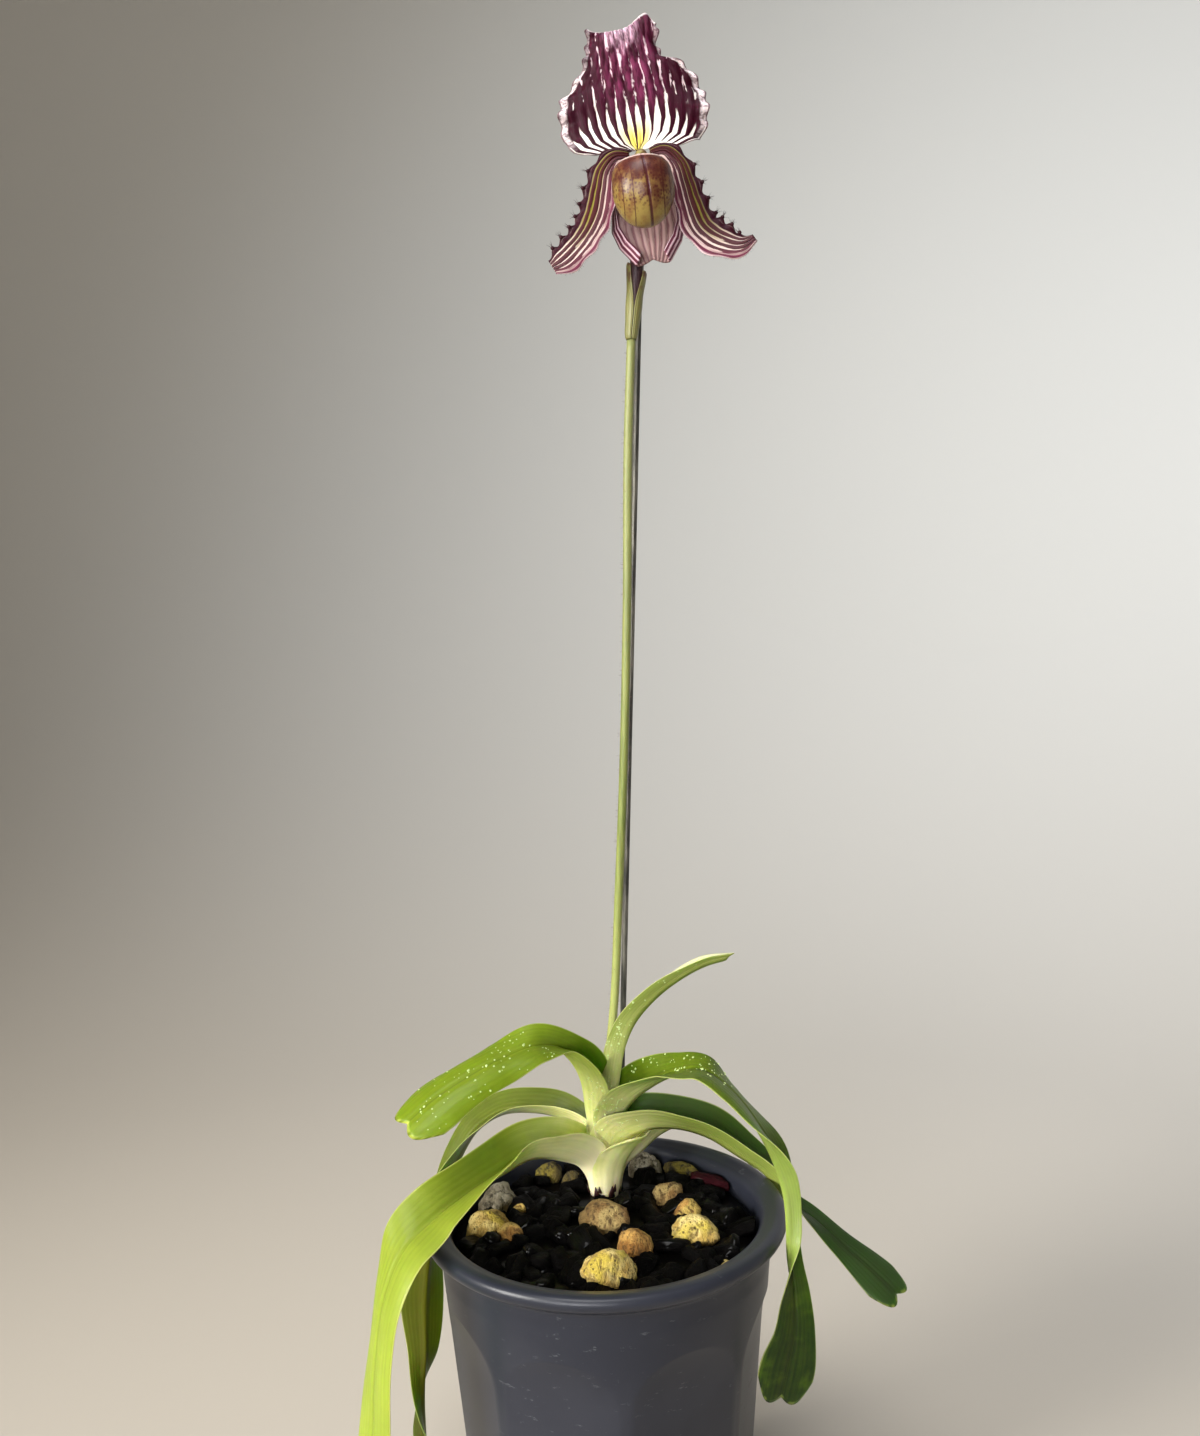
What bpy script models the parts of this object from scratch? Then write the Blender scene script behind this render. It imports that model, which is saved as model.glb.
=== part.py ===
# Potted slipper orchid: a plastic pot of bark with one plant and its open flower.
# Metres, +Z up. The origin is the middle of the pot's foot, and -Y faces the viewer.
# Heights of the plant are given from the pot's rim, because the plant was measured from there.

import math

import bmesh
import bpy
import numpy as np
from mathutils import Matrix, Vector, noise

MM = 0.001
GAP = 0.3
SHARP_DEGREES = 35

# Pot, in millimetres
POT_HEIGHT = 118.0
RIM_RADIUS = 55.0
BODY_RADIUS = 49.6
FOOT_RADIUS = 40.0
MOUTH_RADIUS = 47.0
WALL = 2.6
FLOOR = 3.0
SHOULDER_DROP = 14.0
PANELS = 8
PANEL_AZIMUTH = 27.75
PANEL_HALF_ANGLE = 20.5
PANEL_DEPTH = 2.0
PANEL_TOP_DROP = 21.5
PANEL_ARCH_HEIGHT = 17.0
PANEL_FOOT = 9.0
PANEL_RAMP = 6.0
PANEL_ARCH_POWER = 2.4
COLUMNS_PER_PANEL = 10
DRAIN_HOLES = 6
DRAIN_RADIUS = 3.2
DRAIN_CIRCLE = 24.0

# Bark bed
SOIL_DROP = 6.5
CHIP_RELIEF = 1.6
BED_RINGS = 8
BED_SPOKES = 30

# Plant: the crown stands a little behind the middle of the pot
CROWN = (0.0, 25.0)
CROWN_TOP = -3.2
NECK_RADIUS = 4.4
NECK_TOP_RADIUS = 6.3
ROOTSTOCK_DEPTH = 34.0
ROOTS = 4
ROOT_RADIUS = 1.8
ROOT_LENGTH = 58.0
ROOT_LEAN = 14.0

LEAF_THICKNESS = 0.8
LEAF_LOBE = 1.9
LEAF_CORNER = 6.0

# Each leaf: the side its width starts from, the length that clasps the crown, and its stations.
# A station is x, y, height above the rim, half width, roll, fold at the keel, curl to the margin.
# The fold lifts both halves into a channel; a positive curl bends the margins down again.
LEFT = (0.0, 1.0, 0.0)
RIGHT = (0.0, -1.0, 0.0)
LEAVES = {
    "leaf_1": (RIGHT, 41, (
        (2.6, 25, -2.6, 4.1, 0, 0, -90), (2.8, 24.5, 10, 4.6, 15, 10, -75),
        (4.0, 21.5, 23, 4.4, 35, 35, -30), (5.4, 19, 34, 4.4, 45, 50, 0),
        (7.2, 17.5, 43, 5, 50, 55, 0), (10.6, 16, 51.5, 4.8, 35, 60, 0),
        (16.5, 14.5, 59, 3.8, 20, 60, 0), (25, 13, 66, 2.8, 10, 60, 0),
        (33.5, 12, 70.6, 2.3, 5, 60, 0), (41, 11, 72.8, 1.6, 5, 60, 0))),
    "leaf_2": (LEFT, 37, (
        (-3.2, 25, -2.6, 5, 0, 0, -90), (-3.6, 24, 10, 6.5, 0, 20, -60),
        (-4.5, 21, 22, 7, 0, 45, -20), (-5.5, 16, 33, 6.8, 5, 58, 0),
        (-8, 9.5, 41.3, 6.7, 10, 58, 0), (-12.5, 2.5, 48.2, 6.2, 20, 50, 0),
        (-19, -4.5, 51.5, 7, 30, 25, 25), (-29, -11, 50, 8.2, 35, 8, 50),
        (-39, -17, 46.5, 9, 38, 8, 55), (-48, -21.5, 42, 10, 38, 8, 55),
        (-55, -25, 37, 9.5, 38, 8, 50))),
    "leaf_3": (LEFT, 24, (
        (-4.4, 25, -2.6, 6.9, 0, 0, -90), (-4.8, 25, 5, 7, 0, 30, -50),
        (-7, 27.5, 11, 7.5, 0, 45, -10), (-14, 33, 15, 8.5, 5, 42, 0),
        (-24, 37, 16, 8.5, 5, 35, 0), (-34, 39.5, 14.5, 8, 10, 28, 0),
        (-42.5, 39, 9.5, 7.5, 15, 25, 0), (-48.5, 37, 1, 7, 10, 35, 0),
        (-54, 34.5, -11, 6.5, -10, 45, 0), (-58.5, 32.5, -26, 7.5, -45, 30, 0),
        (-61, 30.5, -44, 8, -60, 15, 0), (-61.5, 29, -62, 5.5, -60, 12, 0),
        (-63, 28.5, -78, 4.5, 0, 20, 0), (-62.5, 27.5, -94, 5, 60, 15, 0))),
    "leaf_4": (LEFT, 15, (
        (-5.6, 25, -2.6, 8.8, 0, 0, -90), (-7.5, 21, 2, 10, 0, 20, -60),
        (-13, 14.5, 8.5, 11.5, 0, 52, -20), (-22, 6, 13, 11, 5, 57, 0),
        (-31, -4, 12.5, 10.5, 15, 52, 0), (-40, -14, 11, 10, 30, 45, 0),
        (-49, -24, 8, 10, 35, 30, 10), (-56, -32, 3.5, 9.5, 35, 15, 25),
        (-61, -37, -7, 9, 30, 8, 30), (-63.5, -39, -22, 8.5, 30, 8, 30),
        (-65.5, -38, -42, 8, 40, 10, 30), (-67.5, -36, -62, 7.2, 50, 10, 30),
        (-68.5, -34, -80, 6.6, 60, 10, 30))),
    "leaf_5": (RIGHT, 34, (
        (3.8, 25, -2.6, 6, 0, 0, -90), (3.6, 24.5, 8, 7.5, 0, 25, -55),
        (4, 22, 18, 8, 0, 45, -20), (8, 15, 26.5, 7.8, 0, 55, 0),
        (14, 7, 34, 8, 0, 50, 0), (22, -1, 40.5, 7.2, 0, 28, 0),
        (30.5, -8, 43.5, 7.5, -10, 12, 20), (38, -13, 39, 8, -6, 8, 30),
        (44.5, -17, 31, 7.5, -8, 15, 20), (49.5, -20, 21.5, 6, -5, 40, 0),
        (52.2, -22, 12, 4.2, 15, 60, 0), (52.7, -24, 2, 3.6, 10, 60, 0),
        (52.6, -25, -7, 3.8, -40, 40, 0), (53.2, -26, -16, 4.8, -70, 20, 10),
        (53, -27, -26, 6.2, -80, 10, 15), (51, -27, -36, 8.3, -82, 8, 15),
        (48.8, -27, -45.5, 8, -82, 8, 15))),
    "leaf_6": (RIGHT, 19, (
        (5, 25, -2.6, 7.8, 0, 0, -90), (5.5, 24, 4, 9, 0, 25, -55),
        (8, 21.5, 10.5, 10, 0, 50, -15), (14, 19.5, 15, 10, -8, 55, 0),
        (23, 19.5, 16, 10, -12, 52, 0), (33, 19, 13.2, 9.5, -12, 50, 0),
        (43, 18, 7, 8, -8, 48, 0), (51.5, 16.5, 1.3, 6.5, -5, 42, 0),
        (58.5, 15, -8, 5, 0, 30, 0), (65.5, 13, -12.6, 4.5, -20, 15, 10),
        (73.5, 10, -19.2, 4.8, -40, 8, 20), (81.5, 6, -25.5, 6.6, -45, 5, 25),
        (89, 2, -32, 7.6, -45, 5, 25))),
    "leaf_7": (RIGHT, 9, (
        (6.2, 25, -2.6, 9.7, 0, 0, -90), (7.5, 26, 0.5, 9, 0, 20, -60),
        (11, 28.5, 4, 8, 0, 40, -20), (18, 34, 8, 8, 0, 40, 0),
        (28, 43, 8, 8, 0, 30, 0), (38, 52, 4, 8, 0, 20, 0),
        (46, 59, -4, 8, 0, 12, 10), (52, 64, -16, 8, 0, 10, 10),
        (56, 67, -30, 7.5, 0, 10, 10))),
}

# Stems: x, y, height above the rim
SCAPE_RADIUS = 1.35
SCAPE_PATH = ((1.0, 26.0, 4), (1.4, 25.8, 16), (2.2, 24.8, 32), (5, 23, 57), (7.3, 21, 90),
              (9.5, 19, 122), (12.7, 16, 184), (14.4, 13.5, 232), (16.2, 12.2, 262))
STAKE_RADIUS = 1.0
STAKE_FOOT = (2.6, 41.5, -54)
STAKE_TOP = (19.6, 17.0, 286)
OVARY_PATH = ((16.2, 12.2, 262.5), (17.1, 12.4, 270), (18.4, 12.8, 282), (19.4, 13, 295),
              (20.1, 12.2, 305), (20.1, 9.6, 310.4), (20.0, 7.4, 311.4))
OVARY_RADII = (1.3, 1.7, 2.1, 2.2, 2.0, 1.9, 1.8)
BRACT_FOOT = 263.0
BRACT_LENGTH = 18.0
BRACT_THICKNESS = 0.6

# Flower: u runs right, v up and n towards the viewer, from the column
FLOWER_AT = (20.0, 3.0, 311.8)
FLOWER_ROLL = 5.5
COLUMN_RADIUS = 2.2
SEPAL_THICKNESS = 0.8
# Petals: u, v, n, half width
PETALS = {
    "petal_left": ((-3, 0.8, -0.6, 1.6), (-7.6, 0.8, 0.2, 2.6), (-11.4, -2.2, 0.6, 3.3),
                   (-13.4, -8, 0.4, 4.1), (-15.2, -14.4, 0.6, 4.8), (-18.6, -20.4, 1.4, 5.0),
                   (-23.2, -25, 2.2, 4.9), (-27, -27.6, 2.4, 4.2), (-29.4, -28.6, 2.0, 2.6)),
    "petal_right": ((3, 0.8, -0.6, 1.6), (7.4, 0.8, 0.2, 2.4), (11.2, -2.6, 0.6, 2.8),
                    (12.8, -8.8, 0.4, 3.6), (13.6, -15.2, 0.6, 4.5), (15.6, -22.6, 1.2, 5.7),
                    (20.6, -27.2, 1.8, 5.4), (26.2, -29, 2.2, 3.4), (30.2, -27.6, 2.0, 1.4)),
}
PETAL_WARTS = 9
POUCH_HALF = (8.9, 7.8)
POUCH_DEPTH = 19.6
POUCH_MIDDLE = (-1.0, -3.6, 10.0)
POUCH_WALL = 0.9
# Hood: share of its height, half width to the left and to the right
DORSAL_EDGE = ((0, 3.2, 3.2), (.06, 13, 13), (.14, 18.8, 19), (.25, 21.2, 22), (.38, 21.6, 22.7),
               (.5, 20.4, 21.6), (.58, 16.8, 19.8), (.64, 14.2, 17.2), (.7, 12.2, 12), (.8, 10.9, 10.4),
               (.92, 9.8, 11.4), (1, 9.6, 10.6))


def clear_scene():
    for thing in list(bpy.data.objects):
        bpy.data.objects.remove(thing)


def make_material(name, color, roughness, metallic=0.0):
    material = bpy.data.materials.new(name)
    material.use_nodes = True
    shader = material.node_tree.nodes["Principled BSDF"]
    shader.inputs["Base Color"].default_value = (*color, 1.0)
    shader.inputs["Roughness"].default_value = roughness
    shader.inputs["Metallic"].default_value = metallic
    material.diffuse_color = (*color, 1.0)
    return material


def place(bm, name, material, smooth=True):
    """Turn a bmesh in millimetres into an object in metres."""
    bmesh.ops.scale(bm, vec=(MM, MM, MM), verts=bm.verts)
    mesh = bpy.data.meshes.new(name)
    bm.to_mesh(mesh)
    bm.free()
    if smooth:
        mesh.shade_smooth()
        mesh.set_sharp_from_angle(angle=math.radians(SHARP_DEGREES))
    mesh.materials.append(material)
    thing = bpy.data.objects.new(name, mesh)
    bpy.context.scene.collection.objects.link(thing)
    return thing


def as_guide(thing, guides):
    """A cutter: kept out of the model, and linked to the collection that a Boolean reads."""
    thing.hide_render = True
    thing.display_type = "WIRE"
    guides.objects.link(thing)


def flow(stations, at):
    """Smooth values between stations, by a cubic through them with no table of tangents."""
    stations = np.asarray(stations, float)
    steps = np.linalg.norm(np.diff(stations[:, :3], axis=0), axis=1)
    knots = np.concatenate(([0.0], np.cumsum(steps)))
    length = knots[-1]
    slopes = np.gradient(stations, knots, axis=0)
    reach = np.asarray(at, float) * length
    i = np.clip(np.searchsorted(knots, reach, side="right") - 1, 0, len(knots) - 2)
    span = (knots[i + 1] - knots[i])[:, None]
    x = (reach - knots[i])[:, None] / span
    values = ((2 * x ** 3 - 3 * x ** 2 + 1) * stations[i] + (x ** 3 - 2 * x ** 2 + x) * span * slopes[i]
              + (3 * x ** 2 - 2 * x ** 3) * stations[i + 1] + (x ** 3 - x ** 2) * span * slopes[i + 1])
    return values, length


def unit(vectors):
    return vectors / np.linalg.norm(vectors, axis=1)[:, None]


def leaf_points(stations, across, s, t):
    """Points of a leaf: s runs over its width from -1 to 1, t along it from 0 to 1."""
    m = np.abs(s)
    length = flow(stations, np.array([0.0]))[1]
    tip = LEAF_LOBE * np.sin(math.pi * np.minimum(m * 1.15, 1.0)) - LEAF_CORNER * m ** 5
    at = t * (1 + tip / length)
    step = 1e-3
    row = flow(stations, at)[0]
    along = unit(flow(stations, at + step)[0][:, :3] - flow(stations, at - step)[0][:, :3])
    flat = np.asarray(across, float)
    side = unit(flat - (along @ flat)[:, None] * along)
    lift = np.cross(side, along)
    half, roll, fold, curl = row[:, 3], *np.radians(row[:, 4:7]).T
    curl = np.where(np.abs(curl) < 1e-3, 1e-3, curl)
    turned = np.cos(roll)[:, None] * side + np.sin(roll)[:, None] * lift
    raised = np.cos(roll)[:, None] * lift - np.sin(roll)[:, None] * side
    out = half * (np.sin(fold) - np.sin(fold - curl * m)) / curl * np.sign(s)
    up = half * (np.cos(fold - curl * m) - np.cos(fold)) / curl
    return row[:, :3] + out[:, None] * turned + up[:, None] * raised


def clasp_share(stations, clasp):
    """The part of a leaf's length that is fused into the crown."""
    return clasp / flow(stations, np.array([0.0]))[1]


def from_rim(points):
    points = np.array(points, float)
    points[:, 2] += POT_HEIGHT
    return points


def sheet(name, shape, across_cells, along_cells, thickness, material):
    """A thin grown sheet: a grid whose points a formula places, then thickened."""
    bm = bmesh.new()
    bmesh.ops.create_grid(bm, x_segments=across_cells, y_segments=along_cells, size=0.5)
    corners = np.array([vert.co for vert in bm.verts])
    places = shape(corners[:, 0] * 2, corners[:, 1] + 0.5)
    for vert, spot in zip(bm.verts, places):
        vert.co = spot
    bmesh.ops.triangulate(bm, faces=bm.faces, quad_method="SHORT_EDGE")
    thing = place(bm, name, material)
    solid = thing.modifiers.new("Thickness", "SOLIDIFY")
    solid.thickness = thickness * MM
    solid.offset = 0
    return thing


def tube(name, path, radii, sides, rings, material):
    """A stem: rings of points round a smooth path, closed at both ends."""
    at = np.linspace(0, 1, rings)
    stations = np.column_stack((np.asarray(path, float), np.asarray(radii, float)))
    row = flow(stations, at)[0]
    bm = bmesh.new()
    loops = []
    for k in range(rings):
        ahead = Vector(row[min(k + 1, rings - 1), :3] - row[max(k - 1, 0), :3]).normalized()
        turn = Vector((0, 0, 1)).rotation_difference(ahead).to_matrix().to_4x4()
        made = bmesh.ops.create_circle(bm, segments=sides, radius=row[k, 3],
                                       matrix=Matrix.Translation(row[k, :3]) @ turn)
        loops.append(made["verts"])
    for lower, upper in zip(loops, loops[1:]):
        for k in range(sides):
            bm.faces.new((lower[k - 1], lower[k], upper[k], upper[k - 1]))
    bm.faces.new(loops[0][::-1])
    bm.faces.new(loops[-1])
    bmesh.ops.recalc_face_normals(bm, faces=bm.faces)
    return place(bm, name, material)


def turned_shape(bm, profile, steps):
    """Spin a profile of (radius, height) points a full turn round the upright axis."""
    verts = [bm.verts.new((radius, 0, height)) for radius, height in profile]
    edges = [bm.edges.new(pair) for pair in zip(verts, verts[1:])]
    bmesh.ops.spin(bm, geom=verts + edges, axis=(0, 0, 1), cent=(0, 0, 0), steps=steps,
                   angle=math.tau, use_merge=True)
    bmesh.ops.remove_doubles(bm, verts=bm.verts, dist=1e-4)
    bmesh.ops.recalc_face_normals(bm, faces=bm.faces)


def body_radius(height):
    """The tapering outer wall's radius at a height, shoulder to foot."""
    share = height / (POT_HEIGHT - SHOULDER_DROP)
    return FOOT_RADIUS + (BODY_RADIUS - FOOT_RADIUS) * min(share, 1.0)


def panel_half_angle(height):
    """A panel's half angle at a height: full in its middle, closing in an arch above and a ramp below."""
    above = (height - (POT_HEIGHT - PANEL_TOP_DROP - PANEL_ARCH_HEIGHT)) / PANEL_ARCH_HEIGHT
    below = (PANEL_FOOT + PANEL_RAMP - height) / PANEL_RAMP
    share = min(max(above, below, 0.0), 1.0)
    return PANEL_HALF_ANGLE * math.sqrt(1 - share ** PANEL_ARCH_POWER)


def panel_crest(off):
    """The arch's height at an angle from the panel's middle."""
    share = max(0.0, 1 - (off / PANEL_HALF_ANGLE) ** 2) ** (1 / PANEL_ARCH_POWER)
    return POT_HEIGHT - PANEL_TOP_DROP - PANEL_ARCH_HEIGHT * (1 - share)


def make_pot(material):
    top = POT_HEIGHT
    shoulder = top - SHOULDER_DROP
    arch_base = top - PANEL_TOP_DROP - PANEL_ARCH_HEIGHT
    panel_foot, panel_low, arch_foot, arch_middle, arch_top = range(1, 6)
    # These five rows only keep their places in the profile: the panels' outline moves them below.
    profile = [
        (FOOT_RADIUS, 0), (FOOT_RADIUS, PANEL_FOOT), (FOOT_RADIUS, PANEL_FOOT + 1),
        (BODY_RADIUS, shoulder - 30), (BODY_RADIUS, shoulder - 25), (BODY_RADIUS, shoulder - 20),
        (BODY_RADIUS, shoulder),
        (BODY_RADIUS + 0.5, top - 6.6), (RIM_RADIUS - 1.4, top - 4.8), (RIM_RADIUS, top - 3.2),
        (RIM_RADIUS, top - 1.4), (RIM_RADIUS - 1.6, top), (MOUTH_RADIUS + 3, top - 0.7),
        (MOUTH_RADIUS, top - 2.4), (MOUTH_RADIUS - 0.3, top - 4.0),
        (body_radius(FLOOR) - WALL, FLOOR), (0, FLOOR)]
    bm = bmesh.new()
    columns = PANELS * COLUMNS_PER_PANEL
    turned_shape(bm, profile, columns)
    rows = {}
    for vert in bm.verts:
        radius = math.hypot(vert.co.x, vert.co.y)
        key = min(range(len(profile)),
                  key=lambda k: abs(profile[k][0] - radius) + abs(profile[k][1] - vert.co.z))
        rows[vert] = key
    angles = np.linspace(-PANEL_HALF_ANGLE, PANEL_HALF_ANGLE, COLUMNS_PER_PANEL)
    for vert, row in rows.items():
        radius, height = profile[row]
        if radius == 0:
            continue
        column = round(math.degrees(math.atan2(vert.co.y, vert.co.x)) * columns / 360) % columns
        panel, place_in_panel = divmod(column, COLUMNS_PER_PANEL)
        off = angles[place_in_panel]
        if panel_foot <= row <= arch_top:
            crest = panel_crest(off)
            height = {panel_foot: PANEL_FOOT, panel_low: PANEL_FOOT + PANEL_RAMP, arch_foot: arch_base - 1,
                      arch_middle: (crest + arch_base) / 2, arch_top: crest}[row]
            spare = max(0.0, panel_half_angle(height) ** 2 - off ** 2)
            radius = body_radius(height) - PANEL_DEPTH * spare / PANEL_HALF_ANGLE ** 2
        azimuth = math.radians(PANEL_AZIMUTH - 90 + panel * 360 / PANELS + off)
        vert.co = (radius * math.cos(azimuth), radius * math.sin(azimuth), height)
    underside = [edge for edge in bm.edges if edge.is_boundary]
    bmesh.ops.contextual_create(bm, geom=underside)
    bmesh.ops.recalc_face_normals(bm, faces=bm.faces)
    bmesh.ops.triangulate(bm, faces=[face for face in bm.faces if len(face.verts) > 4])
    return place(bm, "pot", material)


def drill_drains(pot, guides):
    for k in range(DRAIN_HOLES):
        angle = math.tau * k / DRAIN_HOLES
        bm = bmesh.new()
        spot = (DRAIN_CIRCLE * math.cos(angle), DRAIN_CIRCLE * math.sin(angle), FLOOR / 2)
        bmesh.ops.create_cone(bm, cap_ends=True, segments=10, radius1=DRAIN_RADIUS,
                              radius2=DRAIN_RADIUS, depth=FLOOR * 3,
                              matrix=Matrix.Translation(spot))
        as_guide(place(bm, f"drain_cutter_{k + 1}", pot.data.materials[0], False), guides)
    cut(pot, guides)


def cut(thing, guides):
    boolean = thing.modifiers.new("Cuts", "BOOLEAN")
    boolean.operation = "DIFFERENCE"
    boolean.operand_type = "COLLECTION"
    boolean.collection = guides
    boolean.solver = "EXACT"


def make_bed(material):
    """Bark up to the soil line, with chips in relief on top."""
    soil = POT_HEIGHT - SOIL_DROP
    low = FLOOR + GAP

    def inner_radius(height):
        share = (height - FLOOR) / (POT_HEIGHT - 4.0 - FLOOR)
        floor_radius = body_radius(FLOOR) - WALL
        return floor_radius + (MOUTH_RADIUS - 0.3 - floor_radius) * share - GAP - 0.15

    outer = inner_radius(soil - CHIP_RELIEF)
    profile = [(0, low), (inner_radius(low), low), (outer, soil - CHIP_RELIEF)]
    profile += [(outer * (1 - k / BED_RINGS), soil) for k in range(1, BED_RINGS + 1)]
    bm = bmesh.new()
    turned_shape(bm, profile, BED_SPOKES)
    for vert in bm.verts:
        if vert.co.z > soil - 0.1:
            chip = noise.cell(Vector((vert.co.x, vert.co.y, 3)) * 0.11)
            vert.co.z += CHIP_RELIEF * (chip - 0.5) * 2
    return place(bm, "bark_bed", material, False)


# Stones: x, y, centre above the soil, half sizes, turn about the upright axis, colour slot
STONES = (
    (1.1, -30.6, 1.6, 7.2, 5.4, 5.6, 20, "cream"),
    (8.4, -18.2, 1.6, 5.0, 5.0, 5.6, 60, "orange"),
    (0.2, 0.5, 1.4, 7.6, 6.0, 5.4, -15, "tan"),
    (20.0, 17.2, 1.2, 5.0, 4.0, 3.8, 10, "tan"),
    (25.4, 7.2, -0.4, 4.2, 4.0, 3.8, 40, "orange"),
    (26.6, -8.6, 0.6, 7.2, 5.2, 4.8, -10, "cream"),
    (-36.6, 0.4, 0.2, 6.2, 5.4, 5.0, 15, "cream"),
    (-28.4, -5.4, -0.2, 4.0, 4.0, 3.8, 0, "orange"),
    (-26.6, 13.0, -1.0, 2.8, 2.6, 2.8, 0, "orange"),
    (-34.0, 17.6, 0.2, 4.8, 8.6, 4.8, -20, "grey"),
    (-18.4, 37.4, -0.2, 4.4, 4.0, 4.4, 0, "olive"),
    (-10.6, 33.6, -1.2, 3.4, 3.2, 3.4, 0, "olive"),
    (13.4, 38.6, 0.6, 5.6, 4.2, 5.2, 0, "grey"),
    (25.4, 34.4, 0.4, 6.4, 2.8, 3.4, -36, "olive"),
    (34.0, -24.6, -1.6, 2.4, 2.2, 2.2, 0, "cream"),
)
STONE_ROUGHNESS = 0.16


def stone(name, row, seed, material, grow=0.0):
    x, y, above, half_x, half_y, half_z, turn, _ = row
    bm = bmesh.new()
    bmesh.ops.create_icosphere(bm, subdivisions=2, radius=1)
    for vert in bm.verts:
        bulge = 1 + STONE_ROUGHNESS * noise.noise(vert.co * 1.4 + Vector((seed, 0, 0)))
        vert.co = vert.co * bulge
        vert.co.x *= half_x + grow
        vert.co.y *= half_y + grow
        vert.co.z *= half_z + grow
    spot = Matrix.Translation((x, y, POT_HEIGHT - SOIL_DROP + above))
    bmesh.ops.transform(bm, matrix=spot @ Matrix.Rotation(math.radians(turn), 4, "Z"), verts=bm.verts)
    return place(bm, name, material)


def clasping_base(stations, across, clasp):
    """The foot of a leaf as one solid: its channel is full of the younger leaves inside it."""
    bm = bmesh.new()
    cells_across, cells_along = 6, 8
    bmesh.ops.create_grid(bm, x_segments=cells_across, y_segments=cells_along, size=0.5)
    corners = np.array([vert.co for vert in bm.verts])
    share = clasp_share(stations, clasp)
    places = leaf_points(stations, across, corners[:, 0] * 2, (corners[:, 1] + 0.5) * share)
    edges = {side: sorted((vert for vert in bm.verts if abs(vert.co.x - side / 2) < 1e-4),
                          key=lambda vert: vert.co.y) for side in (-1, 1)}
    near, far = edges[-1], edges[1]
    for k in range(cells_along):
        bm.faces.new((near[k], near[k + 1], far[k + 1], far[k]))
    for vert, spot in zip(bm.verts, places):
        vert.co = spot
    bmesh.ops.holes_fill(bm, edges=[edge for edge in bm.edges if edge.is_boundary])
    bmesh.ops.triangulate(bm, faces=bm.faces)
    bmesh.ops.recalc_face_normals(bm, faces=bm.faces)
    bm.normal_update()
    pushes = [vert.normal * LEAF_THICKNESS * 0.4 for vert in bm.verts]
    for vert, push, height in zip(bm.verts, pushes, corners[:, 1]):
        if height < 0.45:
            vert.co += push
    return bm


def crown_parts(grow=0.0):
    """The neck with its rootstock, and roots that spread down from it."""
    x, y = CROWN
    parts = []
    bm = bmesh.new()
    low = POT_HEIGHT - SOIL_DROP - ROOTSTOCK_DEPTH
    top = POT_HEIGHT + CROWN_TOP + (GAP if grow else 0)
    profile = [(0, low - grow), (NECK_RADIUS * 0.6 + grow, low - grow),
               (NECK_RADIUS + grow, POT_HEIGHT - SOIL_DROP - 6),
               (NECK_RADIUS + grow, POT_HEIGHT - SOIL_DROP),
               (NECK_TOP_RADIUS + grow, top), (0, top)]
    turned_shape(bm, profile, 16)
    bmesh.ops.translate(bm, vec=(x, y, 0), verts=bm.verts)
    parts.append(bm)
    for k in range(ROOTS):
        azimuth = math.tau * (k + 0.4) / ROOTS
        lean = Matrix.Rotation(azimuth, 4, "Z") @ Matrix.Rotation(math.radians(180 - ROOT_LEAN), 4, "Y")
        start = Matrix.Translation((x, y, low + 10))
        bm = bmesh.new()
        shift = Matrix.Translation((0, 0, ROOT_LENGTH / 2))
        bmesh.ops.create_cone(bm, cap_ends=True, segments=8, radius1=ROOT_RADIUS + grow,
                              radius2=ROOT_RADIUS * 0.6 + grow, depth=ROOT_LENGTH + grow * 2,
                              matrix=start @ lean @ shift)
        parts.append(bm)
    return parts


def join(thing, guides):
    """Fuse a collection's solids into an object for good, and drop them."""
    union = thing.modifiers.new("Join", "BOOLEAN")
    union.operation = "UNION"
    union.operand_type = "COLLECTION"
    union.collection = guides
    union.solver = "EXACT"
    reader = bpy.context.evaluated_depsgraph_get()
    mesh = bpy.data.meshes.new_from_object(thing.evaluated_get(reader))
    thing.modifiers.clear()
    thing.data = mesh
    for guide in list(guides.objects):
        bpy.data.objects.remove(guide)
    bpy.data.collections.remove(guides)


def make_crown(material):
    neck, *roots = crown_parts()
    thing = place(neck, "crown", material)
    guides = bpy.data.collections.new("crown_joins")
    for k, root in enumerate(roots):
        as_guide(place(root, f"root_{k + 1}", material), guides)
    for name, (across, clasp, stations) in LEAVES.items():
        foot = clasping_base(from_rim(stations), across, clasp)
        as_guide(place(foot, f"{name}_foot", material), guides)
    join(thing, guides)
    return thing


def flower_points(u, v, n):
    """From the flower's own axes to the pot's."""
    roll = math.radians(FLOWER_ROLL)
    x = FLOWER_AT[0] + u * math.cos(roll) - v * math.sin(roll)
    y = FLOWER_AT[1] - n
    z = POT_HEIGHT + FLOWER_AT[2] + u * math.sin(roll) + v * math.cos(roll)
    return np.column_stack((x, y, z))


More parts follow.
